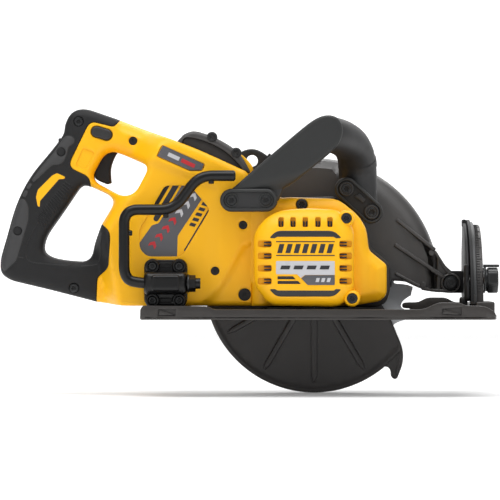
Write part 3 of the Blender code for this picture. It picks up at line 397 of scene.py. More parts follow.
def relief(name, outline, near, far, material, edge=1.0, far_edge=0.0, holes=(), pits=(), form=None,
           spacing=3.0, rings=(), lip=0.5):
    """A moulding between two levels of Y whose near face may be sculpted.

    edge and far_edge round the rims of its two faces. holes go right through; pits are
    (outline, depth) recesses in the near face. form(x, z) says how far the near face lies below
    its level, and rings adds rows of points at those distances from the outline.
    """
    side = 1 if far > near else -1
    loops = [outline, *holes, *[pit for pit, _ in pits]]
    fine = [min(spacing, max(0.5, perimeter(loop) / 28)) for loop in loops[1:]]
    rims = [edge] + [lip] * (len(loops) - 1)

    def rows(rim, extra=()):
        arc_rows = [rim * share for share in ((0.08, 0.3, 0.62, 1.0) if rim > 1 else (0.25, 1.0))]
        return sorted({*arc_rows, *extra} - {0.0}) or [spacing / 2]

    def face(count, rim_list, level, sign, shape, extra):
        ring_rows = [rows(rim, extra if index == 0 else ()) for index, rim in enumerate(rim_list[:count])]
        flat, faces, own, dense = triangulate(loops[:count], [spacing] + fine[:count - 1], ring_rows, spacing)
        drop = np.zeros(len(flat))
        for loop, rim in zip(dense, rim_list):
            if rim > 0:
                drop = np.maximum(drop, round_over(distance_to(flat, loop), rim))
        if shape is not None:
            drop = drop + shape(flat[:, 0], flat[:, 1])
        return flat, faces, own, level + sign * drop

    flat, faces, own, height = face(len(loops), rims, near, side, form, rings)
    verts = [(u, w, v) for (u, v), w in zip(flat, height)]
    shell = list(faces)
    through = 1 + len(holes)
    far_rims = [far_edge] + [lip if far_edge else 0.0] * len(holes)
    if far_edge:
        back, back_faces, back_own, back_height = face(through, far_rims, far, -side, None, rings)
    else:
        rest = [resample(loop, step) for loop, step in zip(loops[:through], [spacing] + fine)]
        starts = np.cumsum([0] + [len(loop) for loop in rest])
        points = [tuple(p) for loop in rest for p in loop]
        rim_edges = [(start + k, start + (k + 1) % len(loop))
                     for start, loop in zip(starts, rest) for k in range(len(loop))]
        back, back_faces, back_own = fill(points, rim_edges, rest, starts)
        back_height = np.full(len(back), float(far))
    base = len(verts)
    verts += [(u, w, v) for (u, v), w in zip(back, back_height)]
    shell += [[base + k for k in reversed(f)] for f in back_faces]
    for ring, back_ring in zip(own[:through], back_own):
        shell += wall(ring, [base + k for k in back_ring])
    for ring, (_, depth) in zip(own[through:], pits):
        floor = list(range(len(verts), len(verts) + len(ring)))
        level = max(height[k] * side for k in ring) * side + side * depth
        verts += [(flat[k][0], level, flat[k][1]) for k in ring]
        shell += [*wall(ring, floor), floor]
    return from_lists(name, verts, shell, material)


def wall(ring, other):
    """The faces between two rings of as many points."""
    count = len(ring)
    return [[ring[(k + 1) % count], ring[k], other[k], other[(k + 1) % count]] for k in range(count)]


def perimeter(points):
    return sum(hypot(b[0] - a[0], b[1] - a[1]) for a, b in zip(points, points[1:] + points[:1]))


def plate(name, outlines, low, high, material, plane="XZ", edge=0.0, smoothness=2):
    """Extrude closed outlines (the first may have holes after it), with its rims rounded by edge."""
    curve = bpy.data.curves.new(name, "CURVE")
    curve.dimensions = "2D"
    curve.fill_mode = "BOTH"
    curve.extrude = (abs(high - low) / 2 - edge) * MM
    curve.bevel_depth = edge * MM
    curve.bevel_resolution = smoothness
    curve.offset = -edge * MM
    for outline in outlines:
        spline = curve.splines.new("POLY")
        spline.points.add(len(outline) - 1)
        for point, (a, b) in zip(spline.points, outline):
            point.co = (a * MM, b * MM, 0.0, 1.0)
        spline.use_cyclic_u = True
    middle = (low + high) / 2 * MM
    obj = bpy.data.objects.new(name, curve)
    if plane == "XZ":
        obj.matrix_world = Matrix.Translation((0, middle, 0)) @ Matrix.Rotation(pi / 2, 4, "X")
    elif plane == "YZ":
        obj.matrix_world = Matrix(((0, 0, 1, middle), (1, 0, 0, 0), (0, 1, 0, 0), (0, 0, 0, 1)))
    else:
        obj.matrix_world = Matrix.Translation((0, 0, middle))
    bpy.context.scene.collection.objects.link(obj)
    curve.materials.append(material)
    return baked(obj)


def tube(name, points, radii, material, sides=20, flatten=1.0):
    """A round bar along points, with one radius for all or one for each; flatten squeezes it in Y."""
    points = [Vector(p) for p in points]
    if not hasattr(radii, "__len__"):
        radii = [radii] * len(points)
    verts, faces = [], []
    normal = None
    for index, point in enumerate(points):
        ahead = points[min(index + 1, len(points) - 1)] - points[max(index - 1, 0)]
        ahead.normalize()
        if normal is None:
            normal = ahead.orthogonal().normalized()
        normal = (normal - ahead * normal.dot(ahead)).normalized()
        other = ahead.cross(normal)
        for side in range(sides):
            turn = 2 * pi * side / sides
            offset = (normal * cos(turn) + other * sin(turn)) * radii[index]
            offset.y *= flatten
            verts.append(tuple(point + offset))
    for index in range(len(points) - 1):
        for side in range(sides):
            n = (side + 1) % sides
            a, b = index * sides, (index + 1) * sides
            faces.append([a + side, a + n, b + n, b + side])
    faces += [list(range(sides)), list(range(len(verts) - sides, len(verts)))]
    return from_lists(name, verts, faces, material)


def smooth_route(corners, reach, steps=8):
    """A polyline in 3-D whose inner corners become smooth curves that start reach before them."""
    corners = [Vector(c) for c in corners]
    route = [corners[0]]
    for before, here, after in zip(corners, corners[1:], corners[2:]):
        route += bend(before, here, after, reach, 0.49, steps)
    return route + [corners[-1]]


def rod(name, start, end, radius, material, edge=0.0, sides=32):
    """A bar between two points with its end rims rounded by edge."""
    start, end = Vector(start), Vector(end)
    axis = (end - start).normalized()
    if not edge:
        return tube(name, [start, end], radius, material, sides)
    stops, radii = [], []
    for step in range(4):
        turn = pi / 2 * step / 3
        stops.append(start + axis * edge * (1 - sin(turn)))
        radii.append(radius - edge * (1 - cos(turn)))
    stops, radii = stops[::-1], radii[::-1]
    stops_end = [end - (stop - start) for stop in stops][::-1]
    return tube(name, stops + stops_end, radii + radii[::-1], material, sides)


def cross_rod(name, at, start, end, radius, material, edge=0.0, sides=32):
    """A bar along Y through a side-view point, from one level of Y to another."""
    return rod(name, (at[0], start, at[1]), (at[0], end, at[1]), radius, material, edge, sides)


def turned(name, profile, centre, material, segments=48, axis="Y"):
    """A closed profile of (radius, level) turned about an axis through centre."""
    verts, faces = [], []
    for index in range(segments):
        turn = 2 * pi * index / segments
        for radius, level in profile:
            u, v = centre[0] + radius * cos(turn), centre[1] + radius * sin(turn)
            verts.append((u, level, v) if axis == "Y" else (level, u, v))
    count = len(profile)
    for index in range(segments):
        a, b = index * count, (index + 1) % segments * count
        for k in range(count):
            n = (k + 1) % count
            faces.append([a + k, a + n, b + n, b + k])
    return from_lists(name, verts, faces, material)


def block(name, x, y, z, material, edge=0.5, segments=2):
    """A box from its three (low, high) ranges, its edges rounded by edge."""
    bm = bmesh.new()
    size = Matrix.Diagonal(((x[1] - x[0]) * MM, (y[1] - y[0]) * MM, (z[1] - z[0]) * MM, 1))
    centre = Vector((x[0] + x[1], y[0] + y[1], z[0] + z[1])) * MM / 2
    bmesh.ops.create_cube(bm, size=1.0, matrix=Matrix.Translation(centre) @ size)
    if edge:
        bmesh.ops.bevel(bm, geom=list(bm.edges), offset=edge * MM, segments=segments, affect="EDGES",
                        profile=0.5)
    mesh = bpy.data.meshes.new(name)
    bm.to_mesh(mesh)
    bm.free()
    return keep(name, mesh, material)


def merged(name, *objects):
    """One object from several, each keeping its material."""
    mesh = bpy.data.meshes.new(name)
    bm = bmesh.new()
    materials = []
    for obj in objects:
        own = obj.active_material
        if own not in materials:
            materials.append(own)
        first = len(bm.faces)
        bm.from_mesh(obj.data)
        bm.faces.ensure_lookup_table()
        for face in bm.faces[first:]:
            face.material_index = materials.index(own)
        bpy.data.objects.remove(obj, do_unlink=True)
    bm.to_mesh(mesh)
    bm.free()
    made = bpy.data.objects.new(name, mesh)
    bpy.context.scene.collection.objects.link(made)
    for own in materials:
        mesh.materials.append(own)
    return made


def carved(obj, *cutters):
    """Cut closed shapes out of obj and apply the cuts."""
    for cutter in cutters:
        modifier = obj.modifiers.new("cut", "BOOLEAN")
        modifier.operation = "DIFFERENCE"
        modifier.solver = "EXACT"
        modifier.object = cutter
    made = baked(obj)
    for cutter in cutters:
        bpy.data.objects.remove(cutter, do_unlink=True)
    return made


def place(obj, body, slot, *nodes):
    """Fix obj to a CAD body and let it stand for CAD nodes by hiding them; slot is not used."""
    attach(obj, body)
    if nodes:
        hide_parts(*nodes)


def screw(name, x, face, z, radius, tip, node=None, socket=0.5, material=BLACK_STEEL):
    """A lobed-socket screw whose head's outer face is at Y = face and whose shank ends at tip."""
    side = 1 if tip > face else -1
    height = radius * 0.62
    head = plate(name, [circle((x, z), radius, 28), lobed((x, z), radius * socket)], face,
                 face + side * height, material, edge=radius * 0.14)
    # The dark disc at the socket's floor is painted shade.
    floor = cross_rod("floor", (x, z), face + side * height * 0.6, face + side * height, radius * 0.8, DARK)
    shank = cross_rod("shank", (x, z), face + side * height, tip, radius * 0.48, material)
    place(merged(name, head, floor, shank), "saw_body", "black_steel", *([node] if node else []))


# ---------------------------------------------------------------- shared outlines, (X, Z)
REAR_CORNERS = [
    (-243, 26.5, 14), (-279, 35, 6), (-288, 41.5, 6), (-288.3, 54, 8), (-281.5, 77, 12), (-274.5, 103, 14),
    (-262, 129, 14), (-239, 156.5, 10), (-229.8, 169, 6), (-229.2, 177.5, 4), (-224.5, 187.5, 5),
    (-217, 191.8, 5), (-208, 191.8, 6),
]
SEAM_FOOT, SEAM_TOP = (-200, 15.4), (-178.4, 181.6)
BODY_FRONT = [(-105.5, 153.7, 16), (-57.9, 131.8, 0.5), (-57.9, 12, 0.5), (-176, 12, 8)]
HAND_REAR = [
    (-213.5, 122.8, 7), (-229.5, 99, 12), (-246.5, 75, 9), (-249, 61.5, 6), (-241, 55.8, 6),
    (-228, 53.3, 6), (-210, 52, 6), (-204, 57, 5), (-201.8, 69, 6),
]
HAND_SEAM_LOW, HAND_SEAM_TOP = (-194.5, 86.5), (-205, 120.6)
HAND_FRONT = [(-183.2, 105.5, 7), (-187, 112.4, 6)]
GRIP_SEAM = [(-199, 38, 4), (-192.5, 42.8, 4), (-188.2, 47.5, 4), (-186.4, 74, 5), (-187.5, 80.5, 4)]
GRIP_SEAM_TOP = [
    (-206.5, 129.6, 5), (-222.8, 137.4, 5), (-224.3, 142.5, 5), (-207.8, 176.5, 4), (-203.5, 180.0, 5),
    (-183.8, 175.0, 3),
]
BODY_RIM = rounded([*REAR_CORNERS, (*SEAM_TOP, 1), (-105.5, 153.7, 16), (-20, 114.4, 1), (-20, 12, 1),
                    (-176, 12, 8), (*SEAM_FOOT, 8)], 4)
HAND_WINDOW = rounded([*HAND_REAR, (*HAND_SEAM_LOW, 5), *HAND_FRONT, (*HAND_SEAM_TOP, 2)], 4)
TRIGGER_WINDOW = rounded([
    (-193.5, 149.5, 6), (-186, 153, 6), (-178, 151, 6), (-154.5, 141, 6), (-152.5, 135.5, 5),
    (-163.5, 114.5, 7), (-175, 111, 8), (-200.5, 124.5, 4), (-203.5, 131, 6)], 4)
GRIP_OUTLINE = rounded([
    (*SEAM_FOOT, 0.3), *REAR_CORNERS, (*SEAM_TOP, 1), *GRIP_SEAM_TOP[::-1], (*HAND_SEAM_TOP, 0.5),
    *HAND_REAR, (*HAND_SEAM_LOW, 0.5), *GRIP_SEAM[::-1]], 4)
YELLOW_OUTLINE = rounded([
    (*SEAM_FOOT, 0.3), *GRIP_SEAM, (*HAND_SEAM_LOW, 0.5), *HAND_FRONT, (*HAND_SEAM_TOP, 0.5),
    *GRIP_SEAM_TOP, (*SEAM_TOP, 0.5), *BODY_FRONT], 4)
ARBOR = (0.0, 32.1)
HOUSING_NEAR, HOUSING_FAR = -47.5, 40.6
GRIP_HALF = 19.0
SEAM = 0.15
SILHOUETTE = [resample(BODY_RIM, 4), resample(HAND_WINDOW, 4), resample(TRIGGER_WINDOW, 4)]


def body_form(half):
    """How far the side of the housing and grip lies below its widest level, half from the seam."""
    def form(x, z):
        points = np.stack((x, z), 1)
        across = x * sin(PACK_SLOPE) - z * cos(PACK_SLOPE)
        low_edge = -187 + (70 - z) * 0.19
        behind = np.maximum(1 - soft(across, -224, -200), 1 - soft(x - low_edge, -16, 0))
        drop = (half - GRIP_HALF) * behind
        over_bay = soft(x, -142, -128) * (1 - soft(x, -64, -58)) * soft(z, 104, 120)
        radius = 4.5 + 4.0 * behind - 3.5 * over_bay
        gap = np.min([distance_to(points, loop) for loop in SILHOUETTE], 0)
        drop = drop + round_over(gap, radius)
        top = np.interp(x, [-211, -179, -105.5, -58], [192.3, 181.7, 153.7, 131.8])
        below = top - z
        beam = (1 - soft(x, -104, -84)) * soft(x, -200, -182)
        drop = drop + 2.6 * beam * soft(below, 24, 31) * (1 - behind)
        wide, narrow = 0.75 * np.clip(10.5 - below, 0, None), 0.52 * np.clip(4.8 - below, 0, None)
        chamfer = soft(x, -184, -176) * (wide + (narrow - wide) * over_bay)
        return drop + chamfer
    return form


def ridge(x, z):
    """The soft S-shaped step that runs down from the motor to the sole."""
    line = np.interp(z, [12, 18.4, 24.7, 38.3, 55.6, 64.6, 69, 70],
                     [-108, -97.7, -91.3, -82.3, -73.2, -68.7, -62, -50])
    return 3.2 * soft(x - line, -1, 6.5) * (1 - soft(z, 66, 71))


def near_form(x, z):
    return body_form(-HOUSING_NEAR)(x, z) + ridge(x, z)


def far_form(x, z):
    return body_form(HOUSING_FAR)(x, z)


FORM_ROWS = (0.6, 1.8, 3.4, 5.4, 8.0)
PACK_WINDOW = rounded([
    (-136.7, 121.3), (-114, 121.3), (-97, 101), (-97, 97.5), (-120, 59.5), (-124, 56.9), (-153, 56.9),
    (-159.8, 64), (-159.8, 81.8)], 4)
LOCK_SLOT = ((-199.8, 170.9), (-190.6, 168.1))
BAY_Y = (-43.6, 37.6)
SCREW_WELLS = [(-166.5, 162.5, 4.0), (-65.9, 85.5, 4.0), (-91.3, 43.8, 4.0), (-64.4, 22.3, 5.8)]


def housing():
    """The two yellow clamshell halves round the battery and the switch."""
    well_depth = 3.0
    panel = [(-212, 156), (-201.5, 152), (-209.5, 136.5), (-219, 140)]
    pits = [(circle((x, z), radius, 24), well_depth) for x, z, radius in SCREW_WELLS]
    lock_pit = (stadium(*LOCK_SLOT, 5.6), 5.0)
    pits += [lock_pit, (rounded(panel, 1.5, 2), 0.5)]
    pits += [(rounded([(-139.5, 158.2), (-100.2, 140.6), (-102.6, 134.4), (-114, 134.3), (-144.6, 147.6)],
                      1.5, 2), 0.6)]
    for name, level, seam, holes, own_pits, form in (
            ("housing_right", HOUSING_NEAR, -SEAM, [TRIGGER_WINDOW, PACK_WINDOW], pits, near_form),
            ("housing_left", HOUSING_FAR, SEAM, [TRIGGER_WINDOW], [lock_pit], far_form)):
        half = relief(name + "_shell", YELLOW_OUTLINE, level, seam, YELLOW, edge=1.2, holes=holes,
                      pits=own_pits, form=form, spacing=3.2, rings=FORM_ROWS)
        half = carved(half, plate("bay", [pack_box((-32.8, 160), (-192.3, -117.2))], *BAY_Y, YELLOW))
        place(half, "saw_body", "yellow_plastic", name)
    for index, (x, z, radius) in enumerate(SCREW_WELLS):
        level = HOUSING_NEAR + form_at(near_form, x, z)
        cap = plate("cap", [circle((x, z), radius - 0.15, 24), lobed((x, z), 1.7)], level + 1.0,
                    level + well_depth, DARK, edge=0.3)
        base = cross_rod("base", (x, z), level + 2.2, level + well_depth, radius - 0.4, DARK)
        place(merged("housing_screw_%d" % (index + 1), cap, base), "saw_body", "black_steel")
    label = relief("handle_label", [(-138.5, 157.6), (-101.4, 140.6), (-103.4, 135.2), (-114, 135),
                                    (-143.5, 148.1)], HOUSING_NEAR - 0.1, HOUSING_NEAR + 0.5, LABEL_GREY,
                   edge=0.2)
    stripes = []
    for name, material, low, high in (("white", LABEL_LIGHT, 0.14, 0.44), ("red", LABEL_RED, 0.5, 0.86)):
        start, run = Vector((-138.5, 152.0)), Vector((33.5, -15.5))
        across = Vector((-0.75, -1.6))
        a, b = start + run * low, start + run * high
        quad = [tuple(a - across), tuple(b - across), tuple(b + across), tuple(a + across)]
        stripes.append(plate("stripe_" + name, [quad], HOUSING_NEAR - 0.25, HOUSING_NEAR + 0.2, material))
    place(merged("handle_label_plate", label, *stripes), "saw_body", "black_plastic")


ACCENT = [(-235.9, 133.1), (-228.1, 129.5), (-229.4, 127.6), (-234, 127.5), (-251.4, 107.5),
          (-251.6, 101.8), (-253.6, 103), (-255.1, 111.2), (-253.4, 117.8), (-240.4, 130.8)]
PADS = [
    [(-228.9, 167.2), (-221.5, 166.5), (-219.4, 163.0), (-221, 159.5), (-225.2, 157.5), (-227.0, 149.8),
     (-229.6, 143.8), (-233.4, 140.9), (-240, 140.4), (-247.6, 133.6), (-256.9, 124.6), (-259.4, 126.6),
     (-250, 139.2), (-239.6, 151.2), (-232.6, 161.5)],
    [(-261.0, 124.4), (-258.4, 122.9), (-261.2, 118.0), (-264.4, 119.4)],
    [(-265.2, 117.8), (-262.0, 116.6), (-264.4, 110.8), (-268.2, 111.8)],
    [(-269.0, 110.0), (-265.2, 108.9), (-261.8, 102.6), (-262, 90), (-268, 70), (-273, 53), (-284, 43),
     (-287, 47), (-287, 53), (-280.6, 75), (-273.8, 100)],
]
GRIP_SCREWS = [("grip_screw_top", -216.2, 180.2), ("grip_screw_bottom", -220.4, 28.1)]
GRIP_PLUGS = [(-232.2, 152.4), (-271.9, 80.2)]
GRIP_LINES = [
    [(-252.4, 88.6), (-257.5, 80), (-263.6, 68), (-264.8, 60), (-263.4, 54.6), (-259.5, 51.6), (-242, 49.4),
     (-225.8, 48.2), (-222.5, 49.8)],
    [(-192.2, 80.5), (-195.4, 72), (-195.8, 56), (-197.8, 50.4), (-201.7, 48.6), (-214, 47.6)],
    [(-286.4, 56.8), (-278.4, 57.6), (-266.5, 55.4)],
]


def ribbed_patch(name, corners, ribs, depth, level, side, form, material):
    """Fine ribs across the grip, following its curved side, on a patch with the given corners."""
    low_a, low_b, high_b, high_a = [np.array(c, float) for c in corners]
    rows, columns = ribs * 6, 14
    verts, faces = [], []
    for row in range(rows + 1):
        t = row / rows
        start, end = low_a + (high_a - low_a) * t, low_b + (high_b - low_b) * t
        swell = depth * (0.5 - 0.5 * cos(2 * pi * ribs * t))
        for column in range(columns + 1):
            s = column / columns
            fade = min(1, 6 * s, 6 * (1 - s))
            x, z = start + (end - start) * s
            drop = form_at(form, x, z)
            verts.append((x, side * (level - drop + swell * fade), z))
    inner = len(verts)
    verts += [(x, y - side * 2.0, z) for x, y, z in verts]
    wide = columns + 1
    for row in range(rows):
        for column in range(columns):
            a = row * wide + column
            quad = [a, a + 1, a + 1 + wide, a + wide]
            faces.append(quad)
            faces.append([k + inner for k in reversed(quad)])
    for row in range(rows):
        for column in (0, columns):
            a = row * wide + column
            faces.append([a, a + wide, a + wide + inner, a + inner])
    for column in range(columns):
        for row in (0, rows):
            a = row * wide + column
            faces.append([a, a + 1, a + 1 + inner, a + inner])
    return from_lists(name, verts, faces, material)


def grips():
    """The soft black handle halves, with their pads, ribs, yellow inlay and screws."""
    for name, side, half, form in (("grip_right", -1, -HOUSING_NEAR, near_form),
                                   ("grip_left", 1, HOUSING_FAR, far_form)):
        def drop(x, z, half=half, form=form):
            return form(x, z) - (half - GRIP_HALF)

        pits = [(rounded(ACCENT, 1, 2), 1.2)]
        pits += [(circle((x, z), 4.3, 24), 1.6) for x, z in GRIP_PLUGS]
        pits += [(circle((x, z), 4.7, 24), 1.6) for _, x, z in GRIP_SCREWS]
        half_shell = relief(name + "_rubber", GRIP_OUTLINE, side * GRIP_HALF, side * SEAM, RUBBER, edge=1.4,
                            pits=pits, form=drop, spacing=3.0, rings=FORM_ROWS, lip=0.6)
        place(half_shell, "saw_body", "grip_rubber", name)
        inlay = relief(name + "_inlay", rounded(ACCENT, 1, 2), side * (GRIP_HALF + 0.25), side * 6, YELLOW,
                       edge=0.3, form=drop, spacing=2.0)
        place(inlay, "saw_body", "yellow_plastic")

        def moat(outline, width, holes=(), side=side, drop=drop):
            return relief("moat", outset(outline, width), side * (GRIP_HALF + 0.12), side * 5, DARK, edge=0.1,
                          form=drop, spacing=3, holes=holes)

        pads = []
        for pad, plug in zip(PADS, (GRIP_PLUGS[0], None, None, GRIP_PLUGS[1])):
            outline = rounded(pad, 2.5, 3)
            holes = [circle(plug, 4.2, 24)] if plug else []
            pads += [relief("pad", outline, side * (GRIP_HALF + 0.7), side * 4, RUBBER_PAD, edge=0.9,
                            form=drop, spacing=2.6, holes=holes), moat(outline, 0.9, holes)]
        accent_moat = moat(rounded(ACCENT, 1, 2), 0.8)
        for line in GRIP_LINES:
            route = smooth_route([(x, 0, z) for x, z in line], 4, 3)
            spots = [(p.x, side * (GRIP_HALF - form_at(drop, p.x, p.z) - 0.45), p.z) for p in route]
            pads.append(tube("line", spots, 0.8, DARK, 8))
        place(merged(name + "_pads", *pads, accent_moat), "saw_body", "grip_rubber")
        ribs = ribbed_patch(name + "_ribs", [(-256, 94), (-248, 81), (-219.5, 120.5), (-229, 127)], 18, 1.0,
                            GRIP_HALF - 0.35, side, drop, RUBBER)
        place(ribs, "saw_body", "grip_rubber")
        plugs = []
        for x, z in GRIP_PLUGS:
            level = GRIP_HALF - form_at(drop, x, z)
            foot = side * (level - 4)
            plugs.append(cross_rod("plug", (x, z), side * (level + 0.5), foot, 3.6, RUBBER, 0.8))
            plugs.append(cross_rod("floor", (x, z), side * (level - 0.6), foot, 4.4, DARK))
        place(merged(name + "_plugs", *plugs), "saw_body", "grip_rubber")
    for name, x, z in GRIP_SCREWS:
        face = -GRIP_HALF + 0.9 + form_at(near_form, x, z) + HOUSING_NEAR + GRIP_HALF
        screw(name + "_lobed", x, face, z, 4.2, 13, name, socket=0.42)


PACK_NEAR, PACK_FAR = -43.0, 37.0
PACK_REAR, PACK_FRONT, BASE_V = -191.5, -118.0, -127.0
BAND_NEAR = PACK_NEAR - 0.35


def pack_outline(*corners):
    """A rounded outline from (along, across, reach) distances of the battery."""
    return rounded([(*along_pack(u, v), reach) for u, v, reach in corners], 3, 6)


def pack_patch(name, corners, lift, material):
    """A flat patch of colour on the battery's near face, lift above its level."""
    return plate(name, [pack_outline(*corners)], BAND_NEAR - lift, PACK_NEAR, material)


def battery():
    """The slanted battery: brown-grey case, its grey lightened as painted highlight, yellow base, colour
    bands in the housing's window.
    """
    foot = [(-32, PACK_REAR, 10), (-32, BASE_V - 0.3, 1)]
    top = [(95.2, -161, 8), (92.6, -175.5, 8), (88.6, -186, 7), (74.6, PACK_REAR, 9)]
    case_outline = pack_outline(
        *foot, (84, BASE_V - 0.3, 3), (88.5, -131.5, 5), (93.4, -138, 5), (95.3, -146, 8), *top)
    arch_outline = pack_outline(
        *foot, (76, BASE_V - 0.3, 1), (82.9, -119.8, 1), (84.3, -119.6, 1), (89.4, -127.4, 6),
        (92.8, -134.8, 6), (95.3, -144, 8), *top)
    recess = rounded([(-120, 165.4, 4), (-111.3, 164.8, 6), (-99, 161.4, 8), (-85.4, 154.8, 8),
                      (-75.5, 147, 8), (-66.2, 136.4, 6), (-66.4, 132.6, 1), (-76, 126, 3), (-124, 150, 3)],
                     4)
    # The shell and raised band take the lighter grey as painted highlight; the recess floor keeps the darker
    # brown.
    case = relief("battery_shell", case_outline, PACK_NEAR + 4, PACK_FAR, CASE_LIT, edge=1, far_edge=5,
                  spacing=4)
    arch = relief("arch", arch_outline, PACK_NEAR, PACK_NEAR + 4.2, CASE_LIT, edge=3.8, pits=[(recess, 3.0)],
                  spacing=3.2, rings=(6,), lip=0.8)
    floor_outline = rounded([(x * 0.985 - 1.5, z * 0.985 + 2.3) for x, z in recess], 0.2, 1)
    floor = relief("floor", floor_outline, PACK_NEAR + 2.4, PACK_NEAR + 4, CASE, edge=0.5, spacing=4)
    place(merged("battery_body", case, arch, floor), "battery_pack", "black_plastic", "battery_case")
    base_outline = pack_outline(
        (-32, BASE_V, 1), (-32, PACK_FRONT, 3), (88.6, PACK_FRONT, 4), (92.0, -125.5, 4), (94.0, -134.5, 2),
        (92.4, -136.0, 1), (88.6, -130.0, 2), (84.6, BASE_V, 1))
    base = relief("battery_base_shell", base_outline, PACK_NEAR + 4.6, PACK_FAR - 4, YELLOW, edge=1.4,
                  far_edge=1.4)
    place(base, "battery_pack", "yellow_plastic", "battery_base")
    latch_outline = pack_outline((76, -190.0, 2), (81.5, -190.6, 3), (89.6, -185.0, 4), (93.3, -175.8, 3),
                                 (88, -173.5, 2), (84, -181, 3))
    latch = relief("latch", latch_outline, -17, 11, NYLON, edge=1.2, far_edge=1.2, spacing=2.5)
    place(latch, "pack_latch", "black_plastic", "battery_latch")

    yellow = pack_patch("yellow", [(-30, -189, 6), (-30, -125.6, 3), (50, -125.6, 2), (50, -180.4, 2),
                                   (9, -180.4, 2), (7, -189, 2)], -0.1, YELLOW)
    # The dark band along the window's edge is partly the pack's black side and partly painted shadow cast by
    # the window's edge.
    bands = [pack_patch("band", [(5, -180.4, 0.5), (5, -175.9, 0.5), (60, -175.9, 0.5), (60, -180.4, 0.5)],
                        0.1, DARK),
             pack_patch("band", [(1.5, -173.6, 4), (1.5, -168.6, 3), (60, -168.6, 0.5), (60, -173.6, 0.5)],
                        0.1, PRINT_AND_SHADE)]
    panel_outline = rounded([(-106, 145), (-100, 114), (-125.3, 75.5), (-125.9, 55), (-152, 55), (-162, 64.8),
                             (-162, 66.2), (-148.6, 85.2), (-142.5, 87), (-106, 147)], 1.5)
    panel = plate("panel", [panel_outline], BAND_NEAR - 0.2, PACK_NEAR, LABEL_GREY)
    marks = []
    for k in range(7):
        u, v = -21 + 9.4 * k, -161.5 + 1.5 * k
        chevron = [(u, v - 3.4, 0.4), (u + 3.2, v, 0.4), (u, v + 3.4, 0.4), (u + 3.6, v + 3.4, 0.4),
                   (u + 6.8, v, 0.4), (u + 3.6, v - 3.4, 0.4)]
        marks.append(pack_patch("chevron", chevron, 0.35, LABEL_RED if k < 4 else LABEL_LIGHT))
    for k in range(5):
        u = 14 + 5.4 * k
        tick = [(u, -142.4, 0.3), (u + 1.4, -137.2, 0.3), (u + 4.6, -137.2, 0.3), (u + 3.2, -142.4, 0.3)]
        marks.append(pack_patch("tick", tick, 0.1, PRINT_AND_SHADE))
    line = [(-8, -134.8, 0.3), (-8, -133.5, 0.3), (35, -133.5, 0.3), (35, -134.8, 0.3)]
    marks.append(pack_patch("line", line, 0.1, PRINT_AND_SHADE))
    place(merged("battery_colours", yellow, *bands, panel, *marks), "battery_pack", "black_plastic")
    heads = []
    for x, z in ((-94.1, 165.2), (-72.2, 150.9)):
        heads.append(plate("head", [circle((x, z), 4.4, 28), lobed((x, z), 2.0)], PACK_NEAR - 1.5,
                           PACK_NEAR + 6, DARK, edge=0.7))
        heads.append(cross_rod("floor", (x, z), PACK_NEAR + 1, PACK_NEAR + 6, 5.0, CASE_LIT, 0.5))
    place(merged("battery_screws", *heads), "battery_pack", "black_steel")


MOTOR_SIDE = rounded([
    (-58, 12, 0.5), (-58, 31, 1), (-60.8, 35, 1), (-60.8, 132.8, 1), (-40, 122, 2), (-32, 110, 3),
    (-22.5, 110.8, 3), (20, 109.2, 7), (38, 95, 7), (46, 82.5, 6), (48.4, 62.5, 4), (64.6, 49.4, 3),
    (64.6, 22, 4), (58, 16, 4), (38, 13, 5), (20, 12, 3)], 4)
CAP_SIDE = [
    (-42, 12.5, 9), (-55.8, 31, 7), (-56.6, 78, 8), (-46, 91.5, 7), (-33, 98.5, 8), (-8, 100.6, 8),
    (22, 99, 8), (34.2, 82, 7), (34.2, 26, 6), (22, 11.6, 7)]
CAP_NEAR, CAP_FOOT = -78.0, -49.0
HOUSING_LEVEL = -50.0
TOP_SCREW = (-12.7, 104.0)
CAP_BOSSES = [("end_cap_screw_2", 27.2, 91.4, 7.4), ("end_cap_screw_3", 32.4, 19.2, 7.4)]
SIDE_VENTS = [(-52.4, -40.2, 1), (20.8, 32.2, -1)]
VENT_ROWS = (68.2, 57.4, 46.4, 34.8)
TOP_VENTS = [-31.7, -20.9, -9.9, 1.5, 12.3]
CAP_MIDDLE = 50.5


def cap_form(x, z):
    """How far the end cap's face drops from its raised middle towards its edge."""
    points = np.stack((x, z), 1)
    gap = distance_to(points, resample(rounded(CAP_SIDE, 4), 3))
    share = np.clip(1 - gap / 15.0, 0, 1)
    return 12.5 * (1 - np.sqrt(1 - share ** 2 * 0.999)) * 0.55 + 5.5 * share ** 1.6


